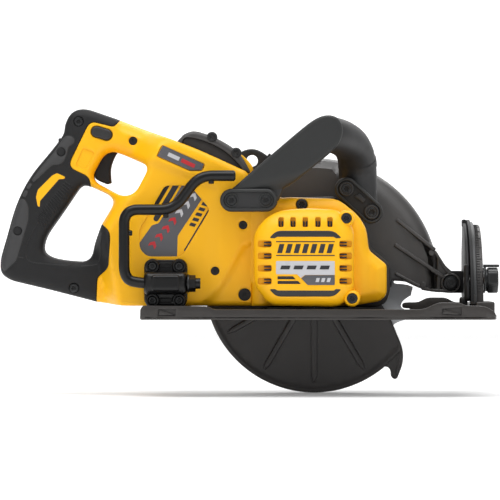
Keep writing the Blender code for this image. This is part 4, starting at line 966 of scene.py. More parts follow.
def motor():
    """The motor's yellow housing and its raised end cap with vents, bars and a plain label."""
    def housing_form(x, z):
        points = np.stack((x, z), 1)
        gap = distance_to(points, resample(MOTOR_SIDE, 3))
        facet = np.clip(8.5 - gap, 0, None) * 0.55 * soft(x, -50, -40)
        step = 3.0 * soft(x, 40, 50)
        beside = (1 - soft(x, -58, -46)) * 2.35
        seam = beside + (1 - soft(x, -60, -50)) * 3.2 * (1 - soft(z, 66, 71))
        return facet + step + seam

    shell = relief("motor_housing_shell", MOTOR_SIDE, HOUSING_LEVEL, 7.7, YELLOW, edge=2.6, far_edge=1.0,
                   pits=[(circle(TOP_SCREW, 5.6, 28), 4.0)], form=housing_form, spacing=3, rings=(5.5, 8.5))
    place(shell, "saw_body", "yellow_plastic", "motor_housing")
    well = HOUSING_LEVEL + form_at(housing_form, *TOP_SCREW)
    screw("end_cap_screw_1_lobed", TOP_SCREW[0], well + 1.2, TOP_SCREW[1], 5.0, -35, "end_cap_screw_1")

    pits = [(rounded(rectangle((x - 2.4, x + 2.4), (83.4, 92.2)), 1.6, 3), 2.6) for x in TOP_VENTS]
    for x0, x1, _ in SIDE_VENTS:
        pits += [(rounded(rectangle((x0, x1), (z - 2.9, z + 2.9)), 2.0, 3), 0.9) for z in VENT_ROWS]
    grill = [rounded([(-34.8, 36.4), (-18.5, 36.4), (-21.0, 39.2), (-34.8, 39.2)], 0.6, 2),
             rounded([(-34.8, 32.2), (-13.9, 32.2), (-16.4, 35.0), (-34.8, 35.0)], 0.6, 2)]
    pits += [(slot, 2.2) for slot in grill]
    cap = relief("motor_end_cap_shell", rounded(CAP_SIDE, 4), CAP_NEAR, CAP_FOOT, YELLOW, edge=1.0,
                 pits=pits, form=cap_form, spacing=2.4, rings=(2, 4, 6.5, 9, 12, 15), lip=0.7)
    bosses = []
    for node, x, z, radius in CAP_BOSSES:
        profile = [(5.0, -72), (5.3, -73.2), (radius - 2.4, -73.2), (radius - 1.1, -72.6),
                   (radius - 0.3, -71.3), (radius, -69), (radius + 0.8, -49), (5.0, -49)]
        bosses.append(turned("boss", profile, (x, z), YELLOW))
        # The floor inside each boss is painted shade, a darker copy of the yellow.
        bosses.append(cross_rod("floor", (x, z), -69.5, -52, 5.2, YELLOW_SHADED))
        screw(node + "_lobed", x, -73.2, z, 4.7, -58, node)
    place(merged("motor_end_cap_lid", cap, *bosses), "saw_body", "yellow_plastic", "motor_end_cap")

    # The dark bars in the vents and the dark plates in the grill slots are painted shade inside the openings.
    slots = []
    for x in TOP_VENTS:
        level = CAP_NEAR + form_at(cap_form, x, 86)
        slots += [block("slot", (x + dx - 0.75, x + dx + 0.75), (level + 1.9, level + 4), (83.8, 88.8), DARK,
                        0.2) for dx in (-1.2, 1.2)]
    for x0, x1, out in SIDE_VENTS:
        for z in VENT_ROWS:
            inner = x1 - 3.6 if out > 0 else x0 + 3.6
            level = CAP_NEAR + form_at(cap_form, inner, z)
            slots += [block("slot", (inner - 3.2, inner + 3.2), (level + 0.35, level + 3),
                            (z + dz - 0.65, z + dz + 0.65), DARK, 0.2) for dz in (-1.3, 1.3)]
    for outline in grill:
        slots.append(plate("slot", [outline], CAP_NEAR + 1.5, CAP_NEAR + 2.6, PRINT_AND_SHADE))
    place(merged("vent_slots", *slots), "saw_body", "black_plastic")

    bars = []
    for flip in (1, -1):
        shape = [(-41.9, 74.3, 1), (-36.2, 80.4, 5), (16.0, 80.4, 5), (22.4, 74.3, 1), (21.6, 73.2, 0.8),
                 (17.6, 73.0, 0.8), (15.6, 74.4, 0.6), (-35.0, 74.4, 0.6), (-37.2, 73.0, 0.8),
                 (-41.2, 73.2, 0.8)]
        placed = [(x, z if flip > 0 else 2 * CAP_MIDDLE - z, reach) for x, z, reach in shape]
        bars.append(relief("bar", rounded(placed, 1, 4), CAP_NEAR - 0.5, CAP_NEAR + 5, NYLON, edge=1.2,
                           form=cap_form, spacing=1.8))
    place(merged("cap_bumpers", *bars), "saw_body", "black_plastic")

    upper = [(-36.2, 52.9, 1.2), (16.6, 52.9, 1.2), (16.6, 40.4, 0.2), (-10.2, 40.4, 0.5), (-13.9, 37.6, 0.3),
             (-17.3, 41, 0.8), (-36.2, 41, 1.2)]
    lower = [(-13.5, 37.3, 0.3), (-10.0, 40.2, 0.6), (16.6, 40.2, 0.3), (16.6, 31.3, 1.2), (-7.8, 31.3, 0.8)]
    fields = [plate(name, [rounded(corners, 1)], CAP_NEAR - 0.35, CAP_NEAR + 0.4, material, edge=0.12)
              for name, corners, material in (("light", upper, LABEL_LIGHT), ("dark", lower, LABEL_GREY))]
    prints = [plate("line", [rectangle((-36.2, 16.6), (z - 0.45, z + 0.45))], CAP_NEAR - 0.25, CAP_NEAR + 0.3,
                    PRINT_AND_SHADE) for z in (70.3, 57.9)]
    for name, count, first, pitch, z, width, lean, low, high, material in (
            ("bar", 7, -35.2, 7.4, (60, 68.2), 4.4, 2.2, -0.25, 0.3, PRINT_AND_SHADE),
            ("dash", 4, -32.5, 11.8, (45.4, 48.8), 8.2, 1.2, -0.5, 0, PRINT_AND_SHADE),
            ("dot", 3, -0.8, 5, (34, 37.6), 3, 1, -0.5, 0, LABEL_LIGHT)):
        prints += [plate(name, [slanted(first + pitch * k, z, width, lean)], CAP_NEAR + low, CAP_NEAR + high,
                         material) for k in range(count)]
    place(merged("cap_label", *fields, *prints), "saw_body", "black_plastic")


def trigger_group():
    """The trigger with its darker finger face, and the lock-off buttons on both sides."""
    outline = rounded([
        (-192.7, 153, 2), (-180.5, 153, 1.5), (-184.2, 147.5, 5), (-187.6, 138, 8), (-187.4, 129, 4),
        (-186.8, 124.6, 1.2), (-190, 122.8, 1.5), (-198, 125.8, 4), (-202.4, 129, 2.5), (-202.4, 135, 5),
        (-200, 143, 6)], 2)
    finger = rounded([
        (-186.5, 152.8, 1), (-180.3, 153.2, 1), (-184.0, 147.5, 5), (-187.3, 138, 8), (-187.1, 129, 4),
        (-186.4, 124.2, 1.0), (-189.6, 123.2, 1), (-190.8, 130, 4), (-191, 139, 6), (-189.4, 147, 4)], 2)
    body = relief("trigger_body", outline, -7.8, 7.8, DARK_STEEL, edge=1.8, far_edge=1.8, spacing=2)
    face = relief("finger", finger, -6.6, 6.6, DARK, edge=2.2, far_edge=2.2, spacing=2)
    place(merged("trigger_lever_body", body, face), "trigger_lever", "black_plastic", "trigger")
    shaft = cross_rod("shaft", (-195, 169.6), -18, 18, 4.2, NYLON)
    caps = [relief("cap", stadium(*LOCK_SLOT, 5.0), side * 20.2, side * 12, NYLON, edge=1.6, spacing=2)
            for side in (-1, 1)]
    place(merged("lock_off_buttons", shaft, *caps), "lock_off", "black_plastic", "lock_off_button")


HOOK_Y, HOOK_Z = -64.0, 32.6


def hook():
    """The rafter hook: a painted rod with small stops, its clamp bracket, nut and screws."""
    corners = [(-104.4, HOOK_Z), (-156, HOOK_Z), (-173.2, 36), (-173.2, 99.2), (-128, 99.2), (-106, 129.8),
               (-72.6, 129.8)]
    path = smooth_route([(x, HOOK_Y, z) for x, z in corners], 13, 10)
    path = path[:-1] + [path[-1] - Vector((back, 0, 0)) for back in (2.2, 1.2, 0.5, 0)]
    radii = [4.9] * (len(path) - 3) + [4.6, 4.0, 3.0]
    bar = tube("bar", path, radii, HOOK_PAINT, 24)
    nubs = [rod("nub", (x, HOOK_Y, z), (x + dx, HOOK_Y, z + dz), 2.6, HOOK_PAINT, 1.0, 18)
            for x, z, dx, dz in ((-94.6, 129.8, 0, -7.4), (-135.6, 99.2, 0, -7.4), (-173.2, 78.2, 7.4, 0))]
    place(merged("rafter_hook_bar", bar, *nubs), "hook", "black_steel", "rafter_hook")
    nut = plate("nut", [hexagon((HOOK_Y, HOOK_Z), 7.6, 30)], -115.6, -108.6, HOOK_PAINT, plane="YZ", edge=0.7)
    washer = rod("washer", (-116, HOOK_Y, HOOK_Z), (-114.4, HOOK_Y, HOOK_Z), 8.2, BLACK_STEEL, 0.4)
    threads = [turned("thread", [(4.4, -108.8 + 1.2 * k), (4.9, -108.3 + 1.2 * k), (4.4, -107.7 + 1.2 * k),
                                 (3, -108.2 + 1.2 * k)], (HOOK_Y, HOOK_Z), BLACK_STEEL, 24, "X")
               for k in range(3)]
    place(merged("hook_nut_set", nut, washer, *threads), "hook", "steel", "hook_nut")
    grooves = [(rounded(rectangle((-141.5, -130.5), (z - 1.6, z + 1.6)), 0.8, 2), 2) for z in (48.6, 17.2)]
    flange = relief("flange",
                    rounded([(-155.4, 12.4, 7), (-116.2, 12.4, 7), (-116.2, 54, 7), (-155.4, 54, 7)], 5), -56,
                    HOUSING_NEAR - 0.3, HOOK_PAINT, edge=1.4, pits=grooves, spacing=3)
    barrel = relief("barrel", rounded(rectangle((-155.6, -116), (22.6, 43.2)), 4, 4), -73.2, -52, HOOK_PAINT,
                    edge=7.5, spacing=2.5)
    bump = relief("bump", rounded(rectangle((-149, -122.5), (25.5, 40.5)), 3.5, 4), -74.2, -66, HOOK_PAINT,
                  edge=3, spacing=2.5)
    columns, rows = (-147.8, -123.7), (48.2, 17.2)
    bosses = [turned("boss", [(0.1, -57), (3.7, -57), (3.7, -60.4), (4.3, -61.2), (5.6, -61.2), (6.6, -60),
                              (6.9, -50), (0.1, -50)], (x, z), HOOK_PAINT) for x in columns for z in rows]
    place(merged("hook_clamp", flange, barrel, bump, *bosses), "saw_body", "black_plastic", "hook_bracket")
    for index, (x, z) in enumerate([(x, z) for z in rows for x in columns]):
        screw("bracket_screw_%d_lobed" % (index + 1), x, -60.0, z, 3.5, -52, "bracket_screw_%d" % (index + 1))


HANDLE_FOOT = ((-76.3, 107.8), (-45.1, 107.8))
FRONT_PLATE = ((28.8, 118.9), (51.9, 97.6))


def front_handle():
    """The black auxiliary handle: near arm with a flat face, a bent bar and two screwed feet."""
    arm_outline = rounded([
        (-79, 112, 2), (-75.2, 118.4, 2), (-60.5, 131.7, 5), (-14.3, 171.1, 8), (-3.4, 179.7, 8), (5, 184, 6),
        (13, 185, 7), (21, 182, 6), (25, 171.5, 8), (21.8, 159.6, 8), (13.7, 151.1, 6), (-22, 122, 8),
        (-29, 119, 6), (-34, 112, 5), (-40, 104, 4)], 4)
    arm = relief("arm", arm_outline, -63, -38, NYLON_PANEL, edge=2.6, far_edge=6.5, spacing=3.2, rings=(5, 8),
                 form=lambda x, z: 5.5 * (1 - soft(z - 0.25 * (x + 40), 112, 128)))
    route = [(4, -47, 166.5), (9, -42, 167.6), (16, -32, 167.6), (25, -16, 165), (33, 0, 159.8),
             (38, 12, 150.5), (39.7, 19, 139), (39.9, 21.4, 127), (40.2, 21.6, 114), (40.4, 21.6, 99)]
    radii = [13.5, 15.8, 16.4, 16.6, 16.9, 17.3, 17.6, 17.7, 17.8, 18.0]
    path = smooth_route(route, 6, 2)
    along = np.cumsum([0] + [(b - a).length for a, b in zip(path, path[1:])])
    knots = np.cumsum([0] + [(Vector(b) - Vector(a)).length for a, b in zip(route, route[1:])])
    size = list(np.interp(along, knots * along[-1] / knots[-1], radii))
    bar = tube("bar", path, size, NYLON, 40, flatten=0.75)
    cuff = tube("cuff", [(38.9, 15.4, 145.6), (39.4, 17.2, 142.6), (39.75, 18.6, 139.4)], [17.9, 18.0, 17.9],
                NYLON, 40, flatten=0.77)
    foot = relief("foot", stadium(*HANDLE_FOOT, 10.4, 14), -65.2, -48, NYLON_PANEL, edge=2.2,
                  pits=[(stadium(*HANDLE_FOOT, 7.2, 14), 2.4)], spacing=2.6)
    # The pan is a darker nylon in the foot's recess: painted shade.
    pan = plate("pan", [stadium(*HANDLE_FOOT, 7.0, 14)], -63.2, -60, NYLON)
    seats = [turned("seat", [(4.6, -64.2), (5.2, -64.6), (6.0, -64.2), (6.3, -62), (4.6, -62)], at,
                    NYLON_PANEL, 32) for at in HANDLE_FOOT]
    neck = relief("neck", rounded([(-82, 110, 3), (-76, 118.6, 3), (-64, 127, 4), (-38, 127, 6),
                                   (-28, 120, 6), (-34, 106, 4)], 3), -58.5, -46, NYLON, edge=3, spacing=3)
    front = relief("front", stadium(*FRONT_PLATE, 10.6, 14), -3.4, 9, NYLON_PANEL, edge=1.9,
                   pits=[(stadium(*FRONT_PLATE, 7.9, 14), 3.0)], spacing=2.4)
    # The dark floor in the front plate's recess is painted shade.
    floor = plate("floor", [stadium(*FRONT_PLATE, 7.7, 14)], -0.8, 1.5, DARK)
    rings = [turned("ring", [(4.7, -3.2), (5.6, -3.6), (6.6, -3.2), (7.0, -1), (4.7, -1)], at, NYLON, 32)
             for at in FRONT_PLATE]
    web = relief("web", rounded([(36, 112), (44, 106), (46.5, 109), (41, 114.5)], 1), -2.6, 0, NYLON,
                 edge=0.6, spacing=2)
    place(merged("front_handle_body", arm, bar, cuff, foot, neck, front, web, floor, *rings, pan, *seats),
          "saw_body", "black_plastic", "front_handle")
    for index, (x, z) in enumerate(HANDLE_FOOT):
        screw("handle_screw_%d_lobed" % (index + 1), x, -65.2, z, 4.4, -44.5, "handle_screw_%d" % (index + 1))
    for index, (x, z) in enumerate(FRONT_PLATE):
        screw("handle_front_screw_%d" % (index + 1), x, -3.6, z, 4.6, 8)


GEAR_CASE = rounded([
    (-50, 14), (-56, 26), (-56, 96), (-44, 110), (18, 112), (40, 96), (52, 64.6), (68, 51), (69.5, 44),
    (69.5, 26), (66, 15), (58, 10), (-44, 10)], 3)
GUARD_NEAR, GUARD_FAR = 41.3, 72.0
NOSE = (126.8, 32.1)


def gear_case():
    body = relief("gear_case_body", GEAR_CASE, 8, 41, CAST, edge=2, far_edge=1.5, spacing=5)
    lip = relief("lip", rounded([(p[0] * 1.012, (p[1] - 60) * 1.012 + 60) for p in GEAR_CASE], 0.5, 1), 33,
                 38.5, CAST, edge=1.2, far_edge=1.2, spacing=6)
    place(merged("gear_case_casting", body, lip), "saw_body", "magnesium", "gear_case")
    button = turned("spindle_lock_cap",
                    [(0.1, 60), (4.0, 60), (4.2, 60.4), (4.2, 70.6), (3.4, 71.6), (0.1, 71.6)],
                    (36.5, ARBOR[1]), BLACK_STEEL, 32, "X")
    pin = rod("pin", (14, 36.5, ARBOR[1]), (70, 36.5, ARBOR[1]), 2.4, STEEL)
    place(merged("spindle_lock_set", button, pin), "spindle_lock", "steel", "spindle_lock_button")


def guard_form(x, z):
    """The floor between the guard's nose ribs sinks towards the pivot."""
    reach = np.hypot(x - ARBOR[0], z - ARBOR[1])
    below = soft(91 - 0.7955 * (x - 76.5) - z, -0.5, 1.5)
    floor = (1.8 * soft(reach, 84, 99) * soft(x, 74, 84) + 8.5 * soft(reach, 107.5, 112)) * below
    return floor + 0.8 * round_over(np.clip(116.4 - reach, 0, None), 22) * soft(z, 56, 68) * (1 - below)


def upper_guard():
    """The fixed cast guard: hollow, with a rounded rim, three nose ribs and a pivot nose."""
    outline = rounded([*arc(ARBOR, 116.4, 19.5, 181, 60), (-114, 28, 2), (-13.6, 30.2, 1),
                       *arc(ARBOR, 13.3, 180, 0, 18), (13.6, 30.6, 1), (60, 31.5, 2), (74.6, 34.2, 2),
                       (84.9, 33.4, 2), (98.8, 26, 3), (108, 24.3, 3), (115, 23.6, 1), (115, 57, 1)], 1, 2)
    shell = relief("shell", outline, GUARD_NEAR, GUARD_FAR, GUARD, edge=2.5, far_edge=6, form=guard_form,
                   spacing=4, rings=(4, 6.5, 9.5, 13, 16.5, 20))
    room = arc(ARBOR, 103.6, 0, 184, 60) + [(-104, 5), (103.6, 5)]
    cavity = plate("room", [room], 43.9, 69.6, GUARD)
    hole = cross_rod("hole", ARBOR, 60, 80, 54, GUARD, sides=72)
    shell = carved(shell, cavity, hole)
    nose_outline = rounded([(113, 24, 1), (118, 23.4, 3), *arc(NOSE, 8.9, -80, 40, 10), (121.5, 49, 3),
                            (114, 59, 1)], 1, 2)
    nose = relief("nose", nose_outline, 46.3, 65.7, GUARD, edge=2, far_edge=2, spacing=2.5,
                  holes=[circle((127, 32.1), 4.3, 28)])
    boss = turned("boss", [(13.3, 43), (17, 43), (17, 48.4), (13.3, 48.4)], ARBOR, GUARD)
    ribs = []
    for a, b, reach in (((76.5, 91.0), (112.2, 62.6), 1.85), ((74.6, 67.8), (115.6, 40.8), 2.0),
                        ((75.2, 41.0), (98.6, 28.6), 1.7)):
        across = Vector((b[1] - a[1], a[0] - b[0])).normalized()
        start, end = Vector(a), Vector(b)
        corners = [start + across * reach, end + across * reach, end - across * reach, start - across * reach]
        ribs.append(relief("rib", rounded([tuple(c) for c in corners], 1.5, 4), GUARD_NEAR - 1.6, 49, GUARD,
                           edge=1.3, spacing=1.8))
    edge_rib = [(112.8, 62.5), (114.2, 60.6), (117.2, 55.5), (115.2, 54.6), (111, 61)]
    low_rib = [(98, 29.2), (100, 25.6), (109, 24.1), (116.6, 23.4), (116.6, 25.6), (108, 26.8), (101, 29.4)]
    ribs += [relief("rib", rounded(corners, 0.6, 2), GUARD_NEAR - 0.8, 49, GUARD, edge=0.7, spacing=1.8)
             for corners in (edge_rib, low_rib)]
    pegs = [cross_rod("peg", at, GUARD_NEAR - 0.9, 49, 2.9, GUARD, 0.5)
            for at in ((109.2, 60.2), (101.7, 30.2))]
    bars = [[(108.0, 43.2), (119.4, 35.7), (121.2, 38.6), (110, 46.6)],
            [(112.8, 62.3), (110.9, 60.6), (122.4, 42.2), (125.2, 39.4), (128.4, 41.0), (125.3, 43.0)],
            [(108, 24.4), (121.5, 23.2), (125.4, 23.4), (123.2, 26.2), (108, 27)]]
    webs = [relief("web", rounded(corners, 0.8, 3), GUARD_NEAR - 1.8, 42.0, GUARD, edge=0.9, spacing=1.8)
            for corners in bars]
    ring = turned("ring", [(7.3, 42), (7.3, 40.2), (7.9, 39.5), (8.6, 39.5), (9.3, 40.2), (9.3, 42)], NOSE,
                  GUARD)
    place(merged("upper_guard_casting", shell, nose, boss, *ribs, *pegs, *webs, ring), "saw_body",
          "magnesium", "upper_guard")


CLAW = rounded([
    (77.5, -16, 1), (80.4, -22.4, 4), (82.6, -30.4, 5), (83.1, -37, 5), (82.1, -44.4, 4), (79.3, -51.8, 3),
    (77.2, -57, 1.6), (73.8, -57.4, 1.6), (71.6, -54.6, 1.6), (71.3, -49.2, 2), (69, -46.2, 3),
    (65.3, -45.5, 3), (60.5, -49, 3), (60, -44, 3), (74, -30, 3)], 1, 4)


def lower_guard():
    """The swinging guard: a hollow crescent with raised radial ribs, a rolled rim and a claw."""
    outline = rounded([*arc(ARBOR, 101.9, -44, -205, 64), polar(ARBOR, 60, -205), polar(ARBOR, 44, -220),
                       *arc(ARBOR, 44, -230, -370, 16), polar(ARBOR, 60, -14), (69, 4, 3), (76, -12, 3),
                       (79.6, -22, 3), (80.4, -32, 3)], 1, 2)
    shell = relief("shell", outline, 46.2, 65.8, CAST_LOW, edge=2.2, far_edge=2.2, spacing=4,
                   rings=(3.6, 4.4),
                   form=lambda x, z: 0.5 * soft(101.9 - np.hypot(x - ARBOR[0], z - ARBOR[1]), 3.6, 4.6))
    claw = relief("claw", CLAW, 47.3, 64.7, CAST_LOW, edge=1.6, far_edge=1.6, spacing=2.5)
    room = arc(ARBOR, 99.4, -20, -212, 64) + [polar(ARBOR, 130, -212), polar(ARBOR, 130, -260),
                                              polar(ARBOR, 130, -330)]
    made = [carved(shell, plate("room", [room], 48.2, 63.9, CAST_LOW),
                   cross_rod("flange_room", ARBOR, 50, 80, 24, CAST_LOW, sides=48),
                   cross_rod("collar", ARBOR, 30, 60, 17.5, CAST_LOW, sides=48)),
            carved(claw, plate("room", [room], 48.2, 63.9, CAST_LOW))]
    for angle in (210, 240, 270, 300):
        direction = Vector((cos(radians(angle)), sin(radians(angle))))
        across = Vector((-direction.y, direction.x))
        centre = Vector(ARBOR)
        corners = [centre + direction * along + across * aside
                   for along, aside in ((26, 3.1), (88, 2.9), (94, 0), (88, -2.9), (26, -3.1))]
        made.append(relief("rib", rounded([tuple(c) for c in corners], 2.4, 4), 44.5, 48, CAST_LOW, edge=1.7,
                           spacing=1.8))
    claw_rib = rounded([(77.4, -33), (80.4, -31.5), (80.9, -38), (77.6, -51.5), (75.4, -52), (78.2, -41)],
                       1.2, 3)
    made.append(relief("claw_rib", claw_rib, 46.3, 48, CAST_LOW, edge=0.8, spacing=2))
    place(merged("lower_guard_casting", *made), "guard", "magnesium", "lower_guard")
    lever_angle = 114.0
    arm = rounded([polar(ARBOR, 30, lever_angle - 12), polar(ARBOR, 42, lever_angle - 8),
                   polar(ARBOR, 106, lever_angle - 4.5), (-35, 143, 7), (-43, 151.5, 7), (-55.5, 158.6, 9),
                   (-69, 155.5, 7), (-73, 147, 5), (-64, 137, 7), polar(ARBOR, 106, lever_angle + 4.5),
                   polar(ARBOR, 42, lever_angle + 8), polar(ARBOR, 30, lever_angle + 12)], 3, 6)
    lever = relief("lever", arm, 76.6, 81.2, NYLON, edge=1.4, far_edge=1.4,
                   holes=[circle((-57.6, 146.4), 5.4, 28)], spacing=3)
    foot_outline = [polar(ARBOR, 30, lever_angle - 12), polar(ARBOR, 43, lever_angle - 8),
                    polar(ARBOR, 43, lever_angle + 8), polar(ARBOR, 30, lever_angle + 12)]
    foot = plate("foot", [rounded(foot_outline, 2)], 66.1, 80, NYLON, edge=0.5)
    place(merged("guard_lift_handle", lever, foot), "guard", "black_plastic", "guard_lift_lever")


def blade():
    """A 24-tooth coated blade with carbide tips, two thin raised rings, and its flanges and bolt."""
    teeth, step = 24, 15.0
    outline, tips = [], []
    for index in range(teeth):
        turn = -index * step
        if index % 6:
            corners = [(92.0, -2.2), (88, -1.3), (85, -0.7), (83.7, 0.1), (83.6, 1.4), (84.1, 2.9),
                       (85.8, 4.6), (88.2, 6.2), (91.1, 7.7)]
        else:
            corners = [(92.0, -2.2), (87.3, -1.2), (82.5, -0.7), (76.6, -0.5), (74.6, 0.1), (74.3, 1.2),
                       (75.8, 2.4), (79.4, 3.4), (84.6, 4.6), (88.8, 6.0), (91.6, 7.8)]
        outline += [polar(ARBOR, radius, turn + angle) for radius, angle in reversed(corners)]
        wedge = [polar(ARBOR, 92.1, turn - 2.1), polar(ARBOR, 86.2, turn - 1.2),
                 polar(ARBOR, 86.0, turn - 2.6), polar(ARBOR, 91.9, turn - 4.2)]
        tips.append(plate("tip", [wedge], 54.7, 57.3, CARBIDE, edge=0.15))
    disc = plate("disc", [outline, circle(ARBOR, 6.3, 32)], 55.1, 56.9, BLADE)
    rings = [turned("ring", [(radius, 54.95), (radius + 0.5, 54.95), (radius + 0.5, 57.05), (radius, 57.05)],
                    ARBOR, BLADE, 72) for radius in (24, 60)]
    place(merged("saw_blade", disc, *rings, *tips), "spindle_set", "blade_steel", "blade")
    inner = turned("inner_flange_ring",
                   [(8, 50.5), (16, 50.5), (18.4, 52.4), (19, 53.4), (19, 54.8), (8, 54.8)], ARBOR, STEEL)
    place(inner, "spindle_set", "steel", "inner_flange")
    outer = turned("outer_flange_ring",
                   [(6.2, 57.3), (19, 57.3), (19, 58.4), (18.2, 59.4), (13, 60.4), (6.2, 60.4)], ARBOR, STEEL)
    place(outer, "spindle_set", "steel", "outer_flange")
    head = plate("head", [hexagon(ARBOR, 8.2), circle(ARBOR, 3.2, 6)], 60.8, 66.2, BLACK_STEEL, edge=0.6)
    washer = turned("washer", [(3, 60.5), (9.6, 60.5), (9.6, 61.6), (8.8, 62), (3, 62)], ARBOR, BLACK_STEEL)
    shank = cross_rod("shank", ARBOR, 54.6, 64, 5.8, BLACK_STEEL)
    place(merged("blade_bolt_hex", head, washer, shank), "spindle_set", "black_steel", "blade_bolt")


DEPTH, DEPTH_CLAMP = (127.0, 32.1), (-72, 50)
BEVEL = (56.0, 7.0)
BEVEL_BOLT = polar(BEVEL, 72, 157)


def shoe():
    """The base plate with its cast edges, ribs, hinge ears and bevel quadrant seat."""
    plan = rounded([(-158, -78, 4), (161.6, -78, 8), (164, -50, 14), (164, 98, 8), (-158, 98, 8)], 5)
    slot_plan = rounded(rectangle((-108, 106), (26.9, 70)), 4)
    base = plate("base", [plan, slot_plan], 0, 3, CAST, plane="XY", edge=0.5)
    side = rounded([
        (-158.6, 0.4, 1), (-158.4, 10.0, 2), (-155.6, 12.9, 1.5), (-97.5, 12.2, 3), (-92, 9.4, 3),
        (96.8, 9.4, 5), (109.3, 15.5, 4), (129.1, 15.5, 4), (134.5, 12.9, 3), (151.6, 12.5, 5), (161.2, 7, 3),
        (161.4, 2.8, 1), (147.1, 0.4, 3)], 2, 4)
    notches = [(rounded([(-142.5, 3.6), (-126.6, 3.6), (-126.6, 9.8), (-142.5, 9.8)], 0.8, 2), 2.2),
               (rounded([(112.9, 4.6), (130.9, 3.8), (130.9, 11.6), (112.9, 10.2)], 0.8, 2), 2.2)]
    near = relief("near", side, -78, -73.5, CAST, edge=0.9, pits=notches, spacing=4)
    wedges = [relief("wedge", corners, -77, -75.6, CAST, edge=0.3, spacing=3) for corners in (
        [(113.4, 5.2), (130.4, 4.4), (115, 9.6)], [(-142, 4.2), (-127.2, 4.2), (-140.4, 9.2)])]
    far = relief("far", rounded([(-155.5, 0.6), (162, 0.6), (162, 6), (-155.5, 6)], 1.2, 3), 98, 95, CAST,
                 edge=0.8, spacing=6)
    inner_side = rounded([
        (88, 1, 1), (88, 8.8, 1), (84.5, 8.8, 3), (80.8, 9.6, 2), (80.8, 14, 3), (86, 14.6, 3), (96, 14.6, 4),
        (103.5, 19.0, 4), (121.5, 19.0, 4), (128.4, 14.6, 4), (136.6, 14.6, 1), (136.6, 1, 1)], 2, 4)
    inner = relief("inner", inner_side, 18.5, 22.5, CAST, edge=0.9, far_edge=0.9, spacing=4)
    details = [block("rib", (-150, 162), y, (2.6, top), CAST, 0.5)
               for y, top in (((-66, -64), 5.2), ((24.2, 26.4), 5.6), ((79.4, 81.6), 5.6))]
    details += [block("rib", (x, x + 2.2), (-76, 24), (2.6, 4.6), CAST, 0.5)
                for x in (-149, -111, -40, 28, 96, 160)]
    details += [block("rib", (x, x + 2.2), (80, 96), (2.6, 4.8), CAST, 0.5) for x in (-149, -60, 30, 118)]
    ears = []
    for x0 in (-133, -118.6, 111, 127):
        ear = [(51, 1), (61, 1), (61, 7)] + arc(BEVEL, 5, 0, 180, 12) + [(51, 7)]
        ears.append(plate("ear", [ear, circle(BEVEL, 2.3, 20)], x0, x0 + 3.6, CAST, plane="YZ", edge=0.4))
    seat = block("seat", (146.5, 163.4), (-30, 60), (1, 15.6), CAST, 1.6, 3)
    parts = [base, near, *wedges, far, inner, *details, *ears, seat]
    place(merged("shoe_casting", *parts), "shoe_plate", "magnesium", "shoe")


def quadrant():
    """The bevel quadrant with a graduated rim, its bolt and knob, and the pins under it."""
    face = arc(BEVEL, 84, 90, 174, 40) + arc(BEVEL, 58, 172, 90, 30)
    sheet = plate("sheet", [face, swept(BEVEL, 72, 3.6, 100.6, 160.4)], 141.7, 144.6, DARK_STEEL, plane="YZ",
                  edge=0.4)
    rim = plate("rim", [swept(BEVEL, 79.9, 2.1, 88, 175, 48)], 142.6, 147.4, QUADRANT, plane="YZ", edge=0.8)
    band = plate("band", [swept(BEVEL, 77.0, 2.0, 91, 175, 48)], 147.2, 153.6, CAST_LOW, plane="YZ", edge=0.7)
    ticks = []
    for k in range(38):
        angle = 93 + 2 * k
        long = 4.6 if k % 5 == 0 else 3.0
        ticks.append(plate("tick", [spoke(BEVEL, 78.2, 79.5, angle, 0.26)], 148.0, 148.0 + long, DARK,
                           plane="YZ"))
    foot = block("foot", (141.8, 146.2), (-26, -4), (3.5, 22), CAST, 0.8)
    cross = block("cross", (141.8, 146.2), (-26, 58), (3.5, 14.6), CAST, 0.8)
    place(merged("bevel_quadrant_plate", sheet, rim, band, foot, cross, *ticks), "shoe_plate", "steel",
          "bevel_quadrant")
    y, z = BEVEL_BOLT
    knob = plate("knob", [rounded(hexagon(BEVEL_BOLT, 12.6, 20), 3, 4)], 157.4, 167.4,
                 BLACK_STEEL, plane="YZ", edge=1.6, smoothness=3)
    collars = []
    for low, high, r in ((153.9, 155.6, 11.4), (155.8, 157.6, 9.8)):
        section = [(3, low), (r, low), (r + 0.4, low + 0.5), (r + 0.4, high - 0.5), (r, high), (3, high)]
        collars.append(turned("collar", section, BEVEL_BOLT, BLACK_STEEL, 40, "X"))
    stem = rod("stem", (136, y, z), (160, y, z), 2.9, STEEL)
    wire = rod("wire", (153.8, y, z + 13.2), (168.6, y, z + 13.2), 1.3, BLACK_STEEL, 0.4, 20)
    clip = block("clip", (154.4, 156.4), (y - 2.2, y + 2.2), (z + 7, z + 14.4), BLACK_STEEL, 0.6)
    place(merged("bevel_knob", knob, *collars, stem, wire, clip), "bevel_clamp", "black_steel", "bevel_lever")
    for name, x0, x1 in (("rear_bevel_pin", -134, -112), ("front_bevel_pin", 109, 145.5)):
        pin = rod(name + "_rod", (x0, *BEVEL), (x1, *BEVEL), 2, STEEL, 0.5, 24)
        place(pin, "shoe_plate", "steel", name)


